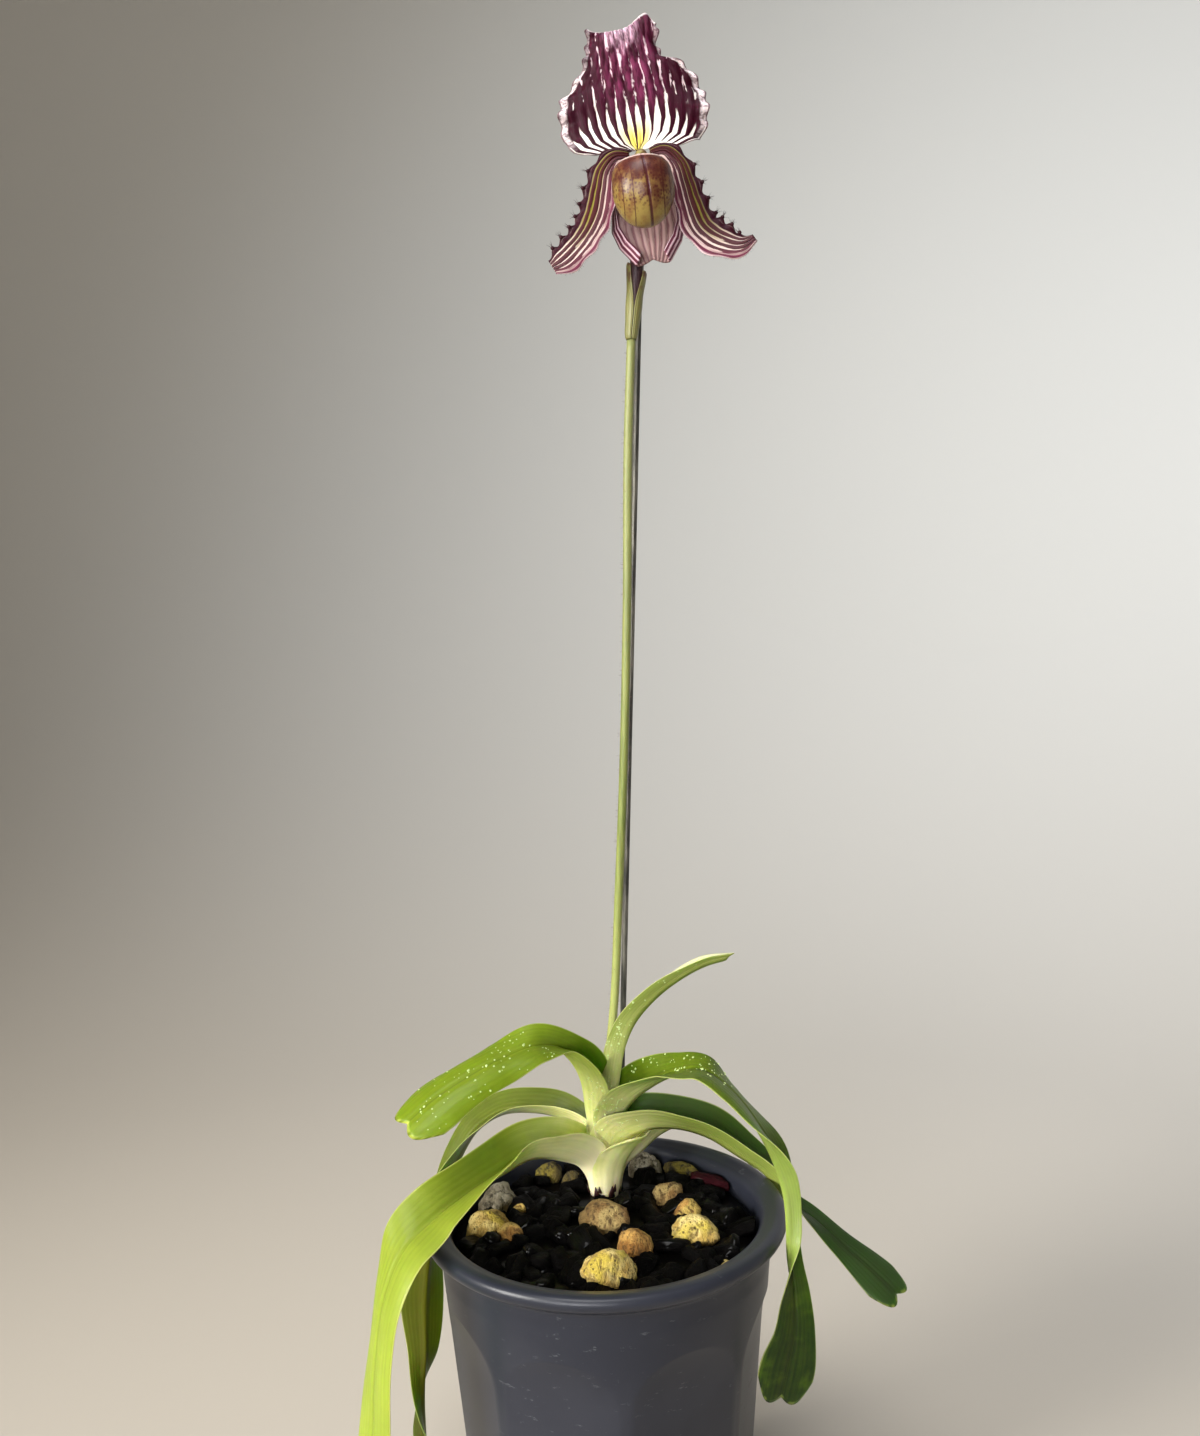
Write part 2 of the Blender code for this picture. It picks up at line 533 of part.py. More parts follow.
def dorsal_shape(s, t):
    """The hood: a broad sepal from a narrow base, with reflexed shoulders and a folded top."""
    m = np.abs(s)
    knots, left, right = np.transpose(DORSAL_EDGE)
    half = np.where(s < 0, np.interp(t, knots, left), np.interp(t, knots, right))
    u = s * half - 1.2 * t
    lobe = 5.5 * np.clip((np.abs(u) - 3.5) / 16, 0, 1) ** 1.3 * (1 - t) ** 2
    crest = 3.8 * np.exp(-((s - 0.72) / 0.24) ** 2) + 1.8 * np.maximum(-s, 0) ** 6 - 1.6
    v = 2.9 + 38.9 * t - lobe + crest * t ** 6
    ripple = np.sin(math.tau * (3.3 * t + 0.12 * np.sign(s)))
    n = -2.6 - 0.07 * v + 1.4 * m ** 3 * ripple - 2.2 * m ** 2 * np.sin(math.pi * t)
    n -= 26 * np.maximum(t - 0.9, 0) ** 1.3
    v -= 16 * np.maximum(t - 0.93, 0)
    return flower_points(u, v, n)


def synsepal_shape(s, t):
    """The two lower sepals grown together, behind the pouch."""
    m = np.abs(s)
    half = np.interp(t, (0, .15, .4, .62, .8, 1), (2.6, 7, 10, 10.8, 9.2, 5))
    v = -3.2 - 25.4 * t - 1.2 * np.sin(math.pi * m) * t ** 4
    u = s * half + 0.4 * t
    n = -3.6 - 0.9 * np.sin(math.pi * t) + 0.9 * np.cos(math.tau * s) * t * t
    return flower_points(u, v, n)


def petal_shape(spine):
    """A drooping petal with a waved, warted upper margin."""
    outward = np.sign(spine[0][0])

    def shape(s, t):
        row = flow(spine, t)[0]
        ahead = unit(flow(spine, t + 1e-3)[0][:, :3] - flow(spine, t - 1e-3)[0][:, :3])
        upward = outward * np.column_stack((-ahead[:, 1], ahead[:, 0], np.zeros(len(t))))
        wart = 0.5 * np.maximum(s, 0) ** 4 * np.sin(math.tau * PETAL_WARTS * t) * np.minimum(t * 5, 1)
        spot = row[:, :3] + (row[:, 3] * s + wart)[:, None] * upward
        bend = 0.5 * s ** 2 * np.sin(math.tau * 3 * t) - 0.9 * s * np.minimum(t * 3, 1)
        return flower_points(spot[:, 0], spot[:, 1], spot[:, 2] + bend)

    return shape


def make_pouch(material):
    """The slipper: an egg-shaped cup with a wide mouth that looks up, and ears at its rim."""
    profile = []
    for k in range(11):
        angle = math.radians(-90 + 14.4 * k)
        profile.append((math.cos(angle), 0.55 + 0.55 * math.sin(angle)))
    bm = bmesh.new()
    turned_shape(bm, profile, 20)
    x, front, level = np.array([vert.co for vert in bm.verts]).T
    rim = np.clip((level - 0.65) / 0.35, 0, 1) ** 2
    u = POUCH_MIDDLE[0] + POUCH_HALF[0] * x * (1 + 0.4 * rim * x ** 2)
    v = POUCH_MIDDLE[1] - POUCH_DEPTH * (1 - level) - rim * (1.6 * x ** 2 + 0.4 * np.maximum(-front, 0))
    n = POUCH_MIDDLE[2] + POUCH_HALF[1] * front
    for vert, spot in zip(bm.verts, flower_points(u, v, n)):
        vert.co = spot
    bmesh.ops.recalc_face_normals(bm, faces=bm.faces)
    bmesh.ops.triangulate(bm, faces=bm.faces)
    thing = place(bm, "pouch", material)
    solid = thing.modifiers.new("Thickness", "SOLIDIFY")
    solid.thickness = POUCH_WALL * MM
    solid.offset = -1
    return thing


def make_bract(material):
    """The sheath round the stem's top, which parts in front towards its two pointed lobes."""
    path = from_rim(OVARY_PATH[:4])

    def shape(s, t):
        turn = math.pi * (0.96 - 0.24 * np.clip(2 * t - 0.8, 0, 1)) * s
        lobe = 1.12 - 0.8 * (np.abs(turn) / math.pi - 0.6) ** 2 - 0.08 * np.sin(turn)
        height = POT_HEIGHT + BRACT_FOOT + BRACT_LENGTH * t * lobe
        x = np.interp(height, path[:, 2], path[:, 0])
        y = np.interp(height, path[:, 2], path[:, 1])
        radius = 2.5 + 0.6 * t - 0.3 * np.sin(math.pi * np.minimum(t * 1.4, 1))
        return np.column_stack((x + radius * np.sin(turn), y + radius * np.cos(turn), height))

    return sheet("bract", shape, 12, 4, BRACT_THICKNESS, material)


def make_staminode(material):
    """The column, with the shield that closes the flower's middle."""
    at = np.array([-3.1, 1.0, 2.6, 3.6, 5.0, 5.6])
    radii = (COLUMN_RADIUS, COLUMN_RADIUS, COLUMN_RADIUS, 2.6, 2.7, 1.6)
    rise = np.array([0, 0, 0, 0.2, 0.2, 0.1])
    return tube("staminode", flower_points(np.zeros(6), rise, at), radii, 12, 9, material)


def main():
    clear_scene()
    plastic = make_material("pot_plastic", (0.045, 0.055, 0.07), 0.38)
    bark = make_material("wet_bark", (0.012, 0.01, 0.009), 0.45)
    stones = {
        "cream": make_material("cream_pumice", (0.55, 0.42, 0.16), 0.85),
        "orange": make_material("orange_pumice", (0.48, 0.22, 0.06), 0.85),
        "tan": make_material("tan_pumice", (0.5, 0.33, 0.15), 0.85),
        "grey": make_material("grey_pumice", (0.25, 0.23, 0.2), 0.9),
        "olive": make_material("olive_pumice", (0.3, 0.22, 0.06), 0.85)}
    white = make_material("crown_white", (0.75, 0.74, 0.5), 0.45)
    green = make_material("leaf_green", (0.16, 0.3, 0.03), 0.38)
    stem = make_material("stem_green", (0.4, 0.5, 0.12), 0.5)
    metal = make_material("stake_metal", (0.12, 0.12, 0.12), 0.35, 0.9)
    purple = make_material("ovary_purple", (0.06, 0.02, 0.03), 0.5)
    sheath = make_material("bract_green", (0.3, 0.36, 0.08), 0.5)
    maroon = make_material("sepal_maroon", (0.25, 0.03, 0.1), 0.5)
    olive = make_material("pouch_olive", (0.3, 0.22, 0.08), 0.35)

    pot_cuts = bpy.data.collections.new("pot_cuts")
    bed_cuts = bpy.data.collections.new("bed_cuts")
    pot = make_pot(plastic)
    drill_drains(pot, pot_cuts)
    bed = make_bed(bark)
    for k, row in enumerate(STONES):
        slot = stones[row[-1]]
        stone(f"stone_{k + 1:02d}", row, k * 7.3, slot)
        as_guide(stone(f"stone_cutter_{k + 1}", row, k * 7.3, slot, GAP + 0.1), bed_cuts)
    crown = make_crown(white)
    for k, bm in enumerate(crown_parts(GAP)):
        as_guide(place(bm, f"crown_cutter_{k + 1}", white), bed_cuts)
    stake_path = from_rim((STAKE_FOOT, STAKE_TOP))
    tube("stake", stake_path, (STAKE_RADIUS, STAKE_RADIUS), 10, 2, metal)
    as_guide(tube("stake_cutter", stake_path - (0, 0, 1), (STAKE_RADIUS + GAP,) * 2, 10, 2, metal),
             bed_cuts)
    cut(bed, bed_cuts)

    crown_cuts = bpy.data.collections.new("crown_cuts")
    scape_path = from_rim(SCAPE_PATH)
    stem_radii = np.full(len(SCAPE_PATH), SCAPE_RADIUS)
    tube("scape", scape_path, stem_radii, 8, 16, stem)
    as_guide(tube("scape_cutter", scape_path - (0, 0, GAP), stem_radii + GAP, 8, 16, stem), crown_cuts)
    cut(crown, crown_cuts)

    for name, (across, clasp, stations) in LEAVES.items():
        rows = from_rim(stations)
        start = clasp_share(rows, clasp + 2 * GAP)
        sheet(name, lambda s, t, r=rows, a=across, f=start: leaf_points(r, a, s, f + (1 - f) * t),
              6, 2 * len(rows) - 4, LEAF_THICKNESS, green)
    tube("ovary", from_rim(OVARY_PATH), OVARY_RADII, 10, 12, purple)
    make_bract(sheath)
    sheet("dorsal_sepal", dorsal_shape, 16, 16, SEPAL_THICKNESS, maroon)
    sheet("synsepal", synsepal_shape, 8, 8, SEPAL_THICKNESS, maroon)
    for name, spine in PETALS.items():
        sheet(name, petal_shape(spine), 4, 36, SEPAL_THICKNESS, maroon)
    make_pouch(olive)
    make_staminode(olive)


main()
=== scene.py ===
# %% [markdown]
# # A potted slipper orchid
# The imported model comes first, as a fixed frame: a pot, a bed of bark, loose stones, the plant and
# its stake. Every piece below is made in the same axes and put over the solid that it stands for.
# %% Load the frame
import math

import bmesh
import bpy
import numpy as np
from mathutils import Matrix, Vector, noise


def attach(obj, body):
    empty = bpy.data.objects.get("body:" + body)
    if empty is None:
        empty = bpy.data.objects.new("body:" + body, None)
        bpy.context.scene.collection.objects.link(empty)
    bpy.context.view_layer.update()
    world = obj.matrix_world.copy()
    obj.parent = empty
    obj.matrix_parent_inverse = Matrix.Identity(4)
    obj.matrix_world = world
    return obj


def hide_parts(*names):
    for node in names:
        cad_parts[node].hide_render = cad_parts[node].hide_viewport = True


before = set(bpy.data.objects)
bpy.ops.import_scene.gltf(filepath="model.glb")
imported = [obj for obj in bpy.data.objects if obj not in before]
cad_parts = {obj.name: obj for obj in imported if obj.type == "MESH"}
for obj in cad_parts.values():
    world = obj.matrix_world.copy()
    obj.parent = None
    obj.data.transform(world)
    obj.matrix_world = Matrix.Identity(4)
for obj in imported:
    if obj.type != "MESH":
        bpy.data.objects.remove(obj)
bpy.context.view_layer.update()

MM = 0.001
POT_HEIGHT = 118.0
SOIL = 111.5
print("frame:", len(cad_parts), "solids")

# %% [markdown]
# The camera stands close, a little above the leaves, and looks slightly down with a small roll.
# Its focal length is worked out from the picture's height, so that the framing is the photograph's.
# %% Camera
FOCAL_PIXELS, PICTURE_HEIGHT, SENSOR = 1250, 1436, 36
PITCH_DOWN, ROLL = math.radians(3.67), math.radians(-1.80)
EYE = (0.0032, -0.3708, 0.2905)


def add_object(name, data):
    thing = bpy.data.objects.new(name, data)
    bpy.context.scene.collection.objects.link(thing)
    return thing


lens = bpy.data.cameras.new("camera")
lens.sensor_width = SENSOR
lens.lens = SENSOR * FOCAL_PIXELS / PICTURE_HEIGHT
lens.clip_start = 0.01
camera = add_object("camera", lens)
level = Matrix.Rotation(math.radians(90) - PITCH_DOWN, 4, "X")
camera.matrix_world = Matrix.Translation(EYE) @ level @ Matrix.Rotation(ROLL, 4, "Z")
bpy.context.scene.camera = camera
print("camera: lens", round(lens.lens, 2), "mm")

# %% [markdown]
# A material is a sum of small ideas, so it reads best as sums. `Wire` wraps one socket, and the
# usual signs on it add Math nodes. `Coat` holds one material: its `node` method makes any node,
# `mix` blends two colours, because a Math node would turn a colour grey, and `over` lays several
# colours over one another.
# %% Shader sums
class Wire:
    def __init__(self, coat, socket):
        self.coat, self.socket = coat, socket

    def sum(self, operation, *others):
        return self.coat.node("ShaderNodeMath", {"operation": operation}, *others)

    def __add__(self, other):
        return self.sum("ADD", self, other)

    def __sub__(self, other):
        return self.sum("SUBTRACT", self, other)

    def __rsub__(self, other):
        return self.sum("SUBTRACT", other, self)

    def __mul__(self, other):
        return self.sum("MULTIPLY", self, other)

    def __abs__(self):
        return self.sum("ABSOLUTE", self)

    __radd__ = __add__
    __rmul__ = __mul__

    def sin(self):
        return self.sum("SINE", self)

    def top(self, other):
        return self.sum("MAXIMUM", self, other)

    def ramp(self, low, high, to_low=0.0, to_high=1.0):
        """Smoothly from one value to another while this one runs from low to high."""
        return self.coat.node("ShaderNodeMapRange", {"interpolation_type": "SMOOTHSTEP"},
                              self, low, high, to_low, to_high)


class Coat:
    def __init__(self, name, slot, roughness=0.5, **constants):
        self.slot = slot
        self.material = bpy.data.materials.new(name)
        self.material.use_nodes = True
        self.tree = self.material.node_tree
        self.shader = self.tree.nodes["Principled BSDF"]
        self.set(Roughness=roughness, **constants)

    def feed(self, socket, value):
        if isinstance(value, Wire):
            self.tree.links.new(value.socket, socket)
        elif socket.type == "RGBA":
            socket.default_value = (*value[:3], 1.0)
        else:
            socket.default_value = value

    def set(self, **values):
        for name, value in values.items():
            self.feed(self.shader.inputs[name.replace("_", " ")], value)

    def node(self, kind, settings, *values, out=0, **named):
        made = self.tree.nodes.new(kind)
        for key, value in settings.items():
            setattr(made, key, value)
        for k, value in enumerate(values):
            self.feed(made.inputs[k], value)
        for key, value in named.items():
            self.feed(made.inputs[key.replace("_", " ")], value)
        return Wire(self, made.outputs[out])

    def read(self, attribute):
        return self.node("ShaderNodeAttribute", {"attribute_name": attribute}, out=2)

    def spot(self):
        return self.node("ShaderNodeTexCoord", {}, out=3)

    def height(self):
        return self.node("ShaderNodeSeparateXYZ", {}, self.spot(), out=2)

    def join(self, x, y, z):
        return self.node("ShaderNodeCombineXYZ", {}, x, y, z)

    def stretch(self, vector, factors):
        return self.node("ShaderNodeVectorMath", {"operation": "MULTIPLY"}, vector, factors)

    def cloud(self, vector, scale, detail=3.0, rough=0.5):
        """Soft noise from about 0.2 to 0.8."""
        return self.node("ShaderNodeTexNoise", {}, Vector=vector, Scale=scale, Detail=detail,
                         Roughness=rough)

    def cells(self, vector, scale):
        return self.node("ShaderNodeTexVoronoi", {}, Vector=vector, Scale=scale)

    def mix(self, factor, a, b):
        made = self.tree.nodes.new("ShaderNodeMix")
        made.data_type, made.clamp_factor = "RGBA", True
        for k, value in ((0, factor), (6, a), (7, b)):
            self.feed(made.inputs[k], value)
        return Wire(self, made.outputs[2])

    def over(self, colour, *layers):
        """Colours laid over the first one, each with its own factor."""
        for factor, layer in layers:
            colour = self.mix(factor, colour, layer)
        return colour

    def bump(self, height, distance, strength=1.0):
        self.set(Normal=self.node("ShaderNodeBump", {}, Strength=strength, Distance=distance,
                                  Height=height))


print("shader sums ready")

# %% [markdown]
# Living things are drawn here as stations along a line, with smooth values between them. `flow`
# puts one cubic through all columns of a table at once, so width and twist change as gently as the
# path does.
# %% Smooth values between stations
STEP = 1e-3


def flow(stations, at):
    stations = np.asarray(stations, float)
    steps = np.linalg.norm(np.diff(stations[:, :3], axis=0), axis=1)
    knots = np.concatenate(([0.0], np.cumsum(steps)))
    slopes = np.gradient(stations, knots, axis=0)
    reach = np.asarray(at, float) * knots[-1]
    i = np.clip(np.searchsorted(knots, reach, side="right") - 1, 0, len(knots) - 2)
    span = (knots[i + 1] - knots[i])[:, None]
    x = (reach - knots[i])[:, None] / span
    return ((2 * x ** 3 - 3 * x ** 2 + 1) * stations[i]
            + (x ** 3 - 2 * x ** 2 + x) * span * slopes[i]
            + (3 * x ** 2 - 2 * x ** 3) * stations[i + 1]
            + (x ** 3 - x ** 2) * span * slopes[i + 1])


def unit(vectors):
    return vectors / np.maximum(np.linalg.norm(vectors, axis=1), 1e-12)[:, None]


def heading(stations, at):
    """The way that a line of stations runs at each place along it."""
    return unit(flow(stations, at + STEP)[:, :3] - flow(stations, at - STEP)[:, :3])


def smooth(low, high, x):
    share = np.clip((x - low) / (high - low), 0, 1)
    return share * share * (3 - 2 * share)


def from_rim(points):
    points = np.array(points, float)
    points[:, 2] += POT_HEIGHT
    return points


# %% [markdown]
# Each piece is modelled in millimetres, then scaled to metres as it becomes an object. The same
# helper makes it ride on the plant's one body and hides the solid that it stands for.
# %% Put a piece in place
def put(bm, name, coat, replaced=(), smooth_faces=True):
    bmesh.ops.scale(bm, vec=(MM, MM, MM), verts=bm.verts)
    mesh = bpy.data.meshes.new(name)
    bm.to_mesh(mesh)
    bm.free()
    if smooth_faces:
        mesh.shade_smooth()
    mesh.materials.append(coat.material)
    thing = add_object(name, mesh)
    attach(thing, "root")
    if replaced:
        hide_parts(*replaced)
    print("piece", name, len(mesh.polygons), "faces")
    return thing


def keep(node, coat):
    """A solid that stays: its own mesh with a finished material."""
    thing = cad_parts[node]
    thing.data.materials.clear()
    thing.data.materials.append(coat.material)


# %% [markdown]
# A leaf or petal is a sheet with two faces and a round margin. One grid is wrapped round it like a
# flat sleeve: its first half is one face, its second half the other, and the doubles along the
# margin and the two ends are merged. Three numbers stay on each point for the material: where it
# is across, where it is along, and which face it is on.
# %% Sheets with two faces
END_CELLS = 60
MARGIN_POWER = 0.6
MERGE = 1e-4


def face_normals(shape, s, t):
    across = shape(s + STEP, t) - shape(s - STEP, t)
    return unit(np.cross(across, shape(s, t + STEP) - shape(s, t - STEP)))


def label(bm, **numbers):
    for name, values in numbers.items():
        layer = bm.verts.layers.float.new(name)
        for vert, value in zip(bm.verts, values):
            vert[layer] = value


def even(half):
    """The same half thickness everywhere."""
    return lambda s, t: half + 0 * s


def blade(shape, half, across, along, sink=None, **extra):
    """A sheet from its middle surface and the half of its thickness, both over (s, t)."""
    bm = bmesh.new()
    bmesh.ops.create_grid(bm, x_segments=2 * across, y_segments=along, size=0.5)
    grid = np.array([vert.co for vert in bm.verts])
    turn = math.tau * (grid[:, 0] + 0.5)
    s, face, t = -np.cos(turn), np.sin(turn), grid[:, 1] + 0.5
    ends = np.sqrt(np.clip(t * END_CELLS, 0, 1) * np.clip((1 - t) * END_CELLS, 0, 1))
    thick = half(s, t) * ends * np.sign(face) * np.abs(face) ** MARGIN_POWER
    if sink:
        thick -= sink(s, t) * ends
    places = shape(s, t) + face_normals(shape, s, t) * thick[:, None]
    label(bm, across=s, along=t, upper=0.5 + 0.5 * np.clip(face * 6, -1, 1),
          **{name: value(s, t) for name, value in extra.items()})
    for vert, spot in zip(bm.verts, places):
        vert.co = spot
    bmesh.ops.remove_doubles(bm, verts=bm.verts, dist=MERGE)
    bmesh.ops.recalc_face_normals(bm, faces=bm.faces)
    return bm


# %% [markdown]
# ## The leaves
# Strap leaves stand in a fan, each clasping the next at its foot. Every station gives the keel's
# place, the half width, a roll about the keel, a fold that lifts both halves into a channel, and a
# curl that bends the margins down again. The tips are notched.
# %% Leaf stations
LEFT, RIGHT = (0.0, 1.0, 0.0), (0.0, -1.0, 0.0)
LEAF_LOBE, LEAF_CORNER = 1.9, 6.0
LEAVES = {
    "leaf_1": (RIGHT, (
        (2.6, 25, -2.6, 4.1, 0, 0, -90), (2.8, 24.5, 10, 5.2, 15, 10, -75),
        (4.0, 21.5, 23, 5.6, 35, 35, -30), (5.4, 19, 34, 5.6, 45, 50, 0),
        (7.2, 17.5, 43, 5.6, 50, 55, 0), (10.6, 16, 51.5, 5.0, 35, 60, 0),
        (16.5, 14.5, 59, 3.8, 20, 60, 0), (25, 13, 66, 2.8, 10, 60, 0),
        (33.5, 12, 70.6, 2.3, 5, 60, 0), (41, 11, 72.8, 1.6, 5, 60, 0))),
    "leaf_2": (LEFT, (
        (-3.2, 25, -2.6, 4.6, 0, 0, -90), (-3.8, 24.5, 10, 5.2, 0, 20, -70),
        (-4.5, 21.5, 22, 7.2, 0, 40, -25), (-5.5, 16, 33, 9.4, 5, 58, 0),
        (-8, 9.5, 41.3, 8.2, 10, 58, 0), (-12.5, 2.5, 48.2, 6.4, 20, 50, 0),
        (-19, -4.5, 51.5, 7, 30, 25, 25), (-29, -11, 50, 8.2, 35, 8, 50),
        (-39, -17, 46.5, 9, 38, 8, 55), (-48, -21.5, 42, 10, 38, 8, 55),
        (-55, -25, 37, 9.5, 38, 8, 50))),
    "leaf_3": (LEFT, (
        (-4.4, 25, -2.6, 6.9, 0, 0, -90), (-4.8, 25, 5, 7, 0, 30, -50),
        (-7, 27.5, 11, 7.5, 0, 45, -10), (-14, 33, 15, 8.5, 5, 42, 0),
        (-24, 37, 16, 8.5, 5, 35, 0), (-34, 39.5, 14.5, 8, 10, 28, 0),
        (-42.5, 39, 9.5, 7.5, 15, 25, 0), (-48.5, 37, 1, 7, 10, 35, 0),
        (-54, 34.5, -11, 6.5, -10, 45, 0), (-58.5, 32.5, -26, 7.5, -45, 30, 0),
        (-61, 30.5, -44, 8, -60, 15, 0), (-61.5, 29, -62, 5.5, -60, 12, 0),
        (-63, 28.5, -78, 4.5, 0, 20, 0), (-62.5, 27.5, -94, 5, 60, 15, 0))),
    "leaf_4": (LEFT, (
        (-4.6, 25, -2.6, 6.2, 0, 0, -78), (-6.6, 22.8, 2, 10, -8, 26, -60),
        (-13, 14.5, 8.5, 12.5, -8, 58, -20), (-22, 6, 13, 11.4, 3, 58, 0),
        (-31, -4, 12.5, 10.5, 15, 52, 0), (-40, -14, 11, 10, 30, 45, 0),
        (-49, -24, 8, 10, 35, 30, 10), (-56, -32, 3.5, 9.5, 35, 15, 25),
        (-61, -37, -7, 9, 30, 8, 30), (-63.5, -39, -22, 8.5, 30, 8, 30),
        (-65.5, -38, -42, 8, 40, 10, 30), (-67.5, -36, -62, 7.2, 50, 10, 30),
        (-68.5, -34, -80, 6.6, 60, 10, 30))),
    "leaf_5": (RIGHT, (
        (3.0, 25, -2.6, 4.7, 0, 0, -90), (4.2, 24.5, 8, 7.2, 0, 25, -55),
        (6, 22, 18, 10, 14, 42, -20), (9, 15, 26.5, 10.4, 14, 50, 0),
        (14.5, 7, 34, 8.9, 6, 48, 0), (22, -1, 40.5, 7.4, 0, 28, 0),
        (30.5, -8, 43.5, 7.5, -10, 12, 20), (38, -13, 39, 8, -6, 8, 30),
        (44.5, -17, 31, 7.5, -8, 15, 20), (49.5, -20, 21.5, 6, -5, 40, 0),
        (52.2, -22, 12, 4.2, 15, 60, 0), (52.7, -24, 2, 3.6, 10, 60, 0),
        (52.6, -25, -7, 3.8, -40, 40, 0), (53.2, -26, -16, 4.8, -70, 20, 10),
        (53, -27, -26, 6.2, -80, 10, 15), (51, -27, -36, 8.3, -82, 8, 15),
        (48.8, -27, -45.5, 8, -82, 8, 15))),
    "leaf_6": (RIGHT, (
        (3.6, 25, -2.6, 5.6, 0, 0, -90), (4.2, 24.5, 5, 10, 8, 35, -60),
        (8, 21.5, 12, 12.5, 8, 56, -15), (14, 19.5, 15.8, 11, -4, 58, 0),
        (23, 19.5, 16, 10, -12, 52, 0), (33, 19, 13.2, 9.5, -12, 50, 0),
        (43, 18, 7, 8, -8, 48, 0), (51.5, 16.5, 1.3, 6.5, -5, 42, 0),
        (58.5, 15, -8, 5, 0, 30, 0), (65.5, 13, -12.6, 4.5, -20, 15, 10),
        (73.5, 10, -19.2, 4.8, -40, 8, 20), (81.5, 6, -25.5, 6.6, -45, 5, 25),
        (89, 2, -32, 7.6, -45, 5, 25))),
    "leaf_7": (RIGHT, (
        (4.6, 26, -2.6, 7.2, 0, 0, -90), (6.8, 27, 1, 8, 0, 20, -60),
        (11, 28.5, 4, 8, 0, 40, -20), (18, 34, 8, 8, 0, 40, 0),
        (28, 43, 8, 8, 0, 30, 0), (38, 52, 4, 8, 0, 20, 0),
        (46, 59, -4, 8, 0, 12, 10), (52, 64, -16, 8, 0, 10, 10),
        (56, 67, -30, 7.5, 0, 10, 10))),
}


def leaf_length(stations):
    return np.linalg.norm(np.diff(np.array(stations)[:, :3], axis=0), axis=1).sum()


def leaf_points(stations, across, s, t):
    m = np.abs(s)
    tip = LEAF_LOBE * np.sin(math.pi * np.minimum(m * 1.15, 1.0)) - LEAF_CORNER * m ** 5
    at = t * (1 + tip / leaf_length(stations))
    row = flow(stations, at)
    along = heading(stations, at)
    flat = np.asarray(across, float)
    side = unit(flat - (along @ flat)[:, None] * along)
    lift = np.cross(side, along)
    half, roll, fold, curl = row[:, 3], *np.radians(row[:, 4:7]).T
    curl = np.where(np.abs(curl) < 1e-3, 1e-3, curl)
    turned = np.cos(roll)[:, None] * side + np.sin(roll)[:, None] * lift
    raised = np.cos(roll)[:, None] * lift - np.sin(roll)[:, None] * side
    out = half * (np.sin(fold) - np.sin(fold - curl * m)) / curl * np.sign(s)
    up = half * (np.cos(fold - curl * m) - np.cos(fold)) / curl
    return row[:, :3] + out[:, None] * turned + up[:, None] * raised


print("leaves:", {name: round(leaf_length(rows)) for name, (_, rows) in LEAVES.items()})

# %% [markdown]
# A leaf's finish changes along it: creamy where it clasps the crown, then yellow green or deep
# green, with fine veins that run its whole length. The underside is paler, with a raised rib.
# %% Leaf finish
def times(colour, factor):
    return [min(1.0, value * factor) for value in colour]


def leaf_coat(name, fresh, deep, under, pale_end, deep_start=0.6):
    coat = Coat(name, "leaf_green", 0.34, Subsurface_Weight=0.35, Subsurface_Scale=0.004,
                Specular_IOR_Level=0.2)
    coat.set(Subsurface_Radius=(0.5, 1.0, 0.2))
    s, t, upper = coat.read("across"), coat.read("along"), coat.read("upper")
    streaks = coat.cloud(coat.join(s * 14, t * 5, upper * 3), 1.0, 4.0, 0.6)
    veins = (s * 34 + streaks * 3).sin() * 0.5 + 0.5
    mottle = coat.cloud(coat.spot(), 130.0, 4.0, 0.6)
    patches = coat.cloud(coat.spot(), 48.0, 3.0, 0.6)
    groove, rib = 1 - abs(s).ramp(0.0, 0.035), 1 - abs(s).ramp(0.0, 0.09)
    green = coat.over(
        fresh,
        (t.ramp(deep_start - 0.25, deep_start + 0.2) * (mottle * 0.6 + 0.7), deep),
        (veins * 0.16 + streaks.ramp(0.45, 0.75) * 0.25, times(fresh, 0.55)),
        (mottle.ramp(0.45, 0.8) * 0.3, times(fresh, 1.5)),
        (patches.ramp(0.35, 0.65) * 0.35, times(deep, 0.6)),
        (groove * 0.5, times(deep, 0.5)))
    back = coat.over(
        under,
        (veins * 0.25 + mottle.ramp(0.4, 0.8) * 0.25, times(under, 0.6)),
        (rib * 0.6, times(under, 1.5)))
    cream = coat.over((0.82, 0.84, 0.36), (mottle.ramp(0.3, 0.8), (0.62, 0.7, 0.2)),
                      (veins * 0.2, (0.4, 0.5, 0.12)))
    reach = t * (upper * 0.7 + 0.6) + streaks * 0.08 - 0.04
    colour = coat.over(
        coat.mix(upper, back, green),
        (1 - reach.ramp(pale_end * 0.4, pale_end), cream),
        (1 - reach.ramp(0.02, pale_end * 0.5), (0.95, 0.89, 0.54)),
        (abs(s).ramp(0.95, 0.985) * 0.3, (0.6, 0.64, 0.25)))
    coat.set(Base_Color=colour, Roughness=mottle * 0.16 + 0.34, Coat_Weight=0.05)
    coat.bump(veins * 0.3 + streaks * 0.6 + mottle * 0.5 + patches * 3, 0.00016, 0.6)
    return coat


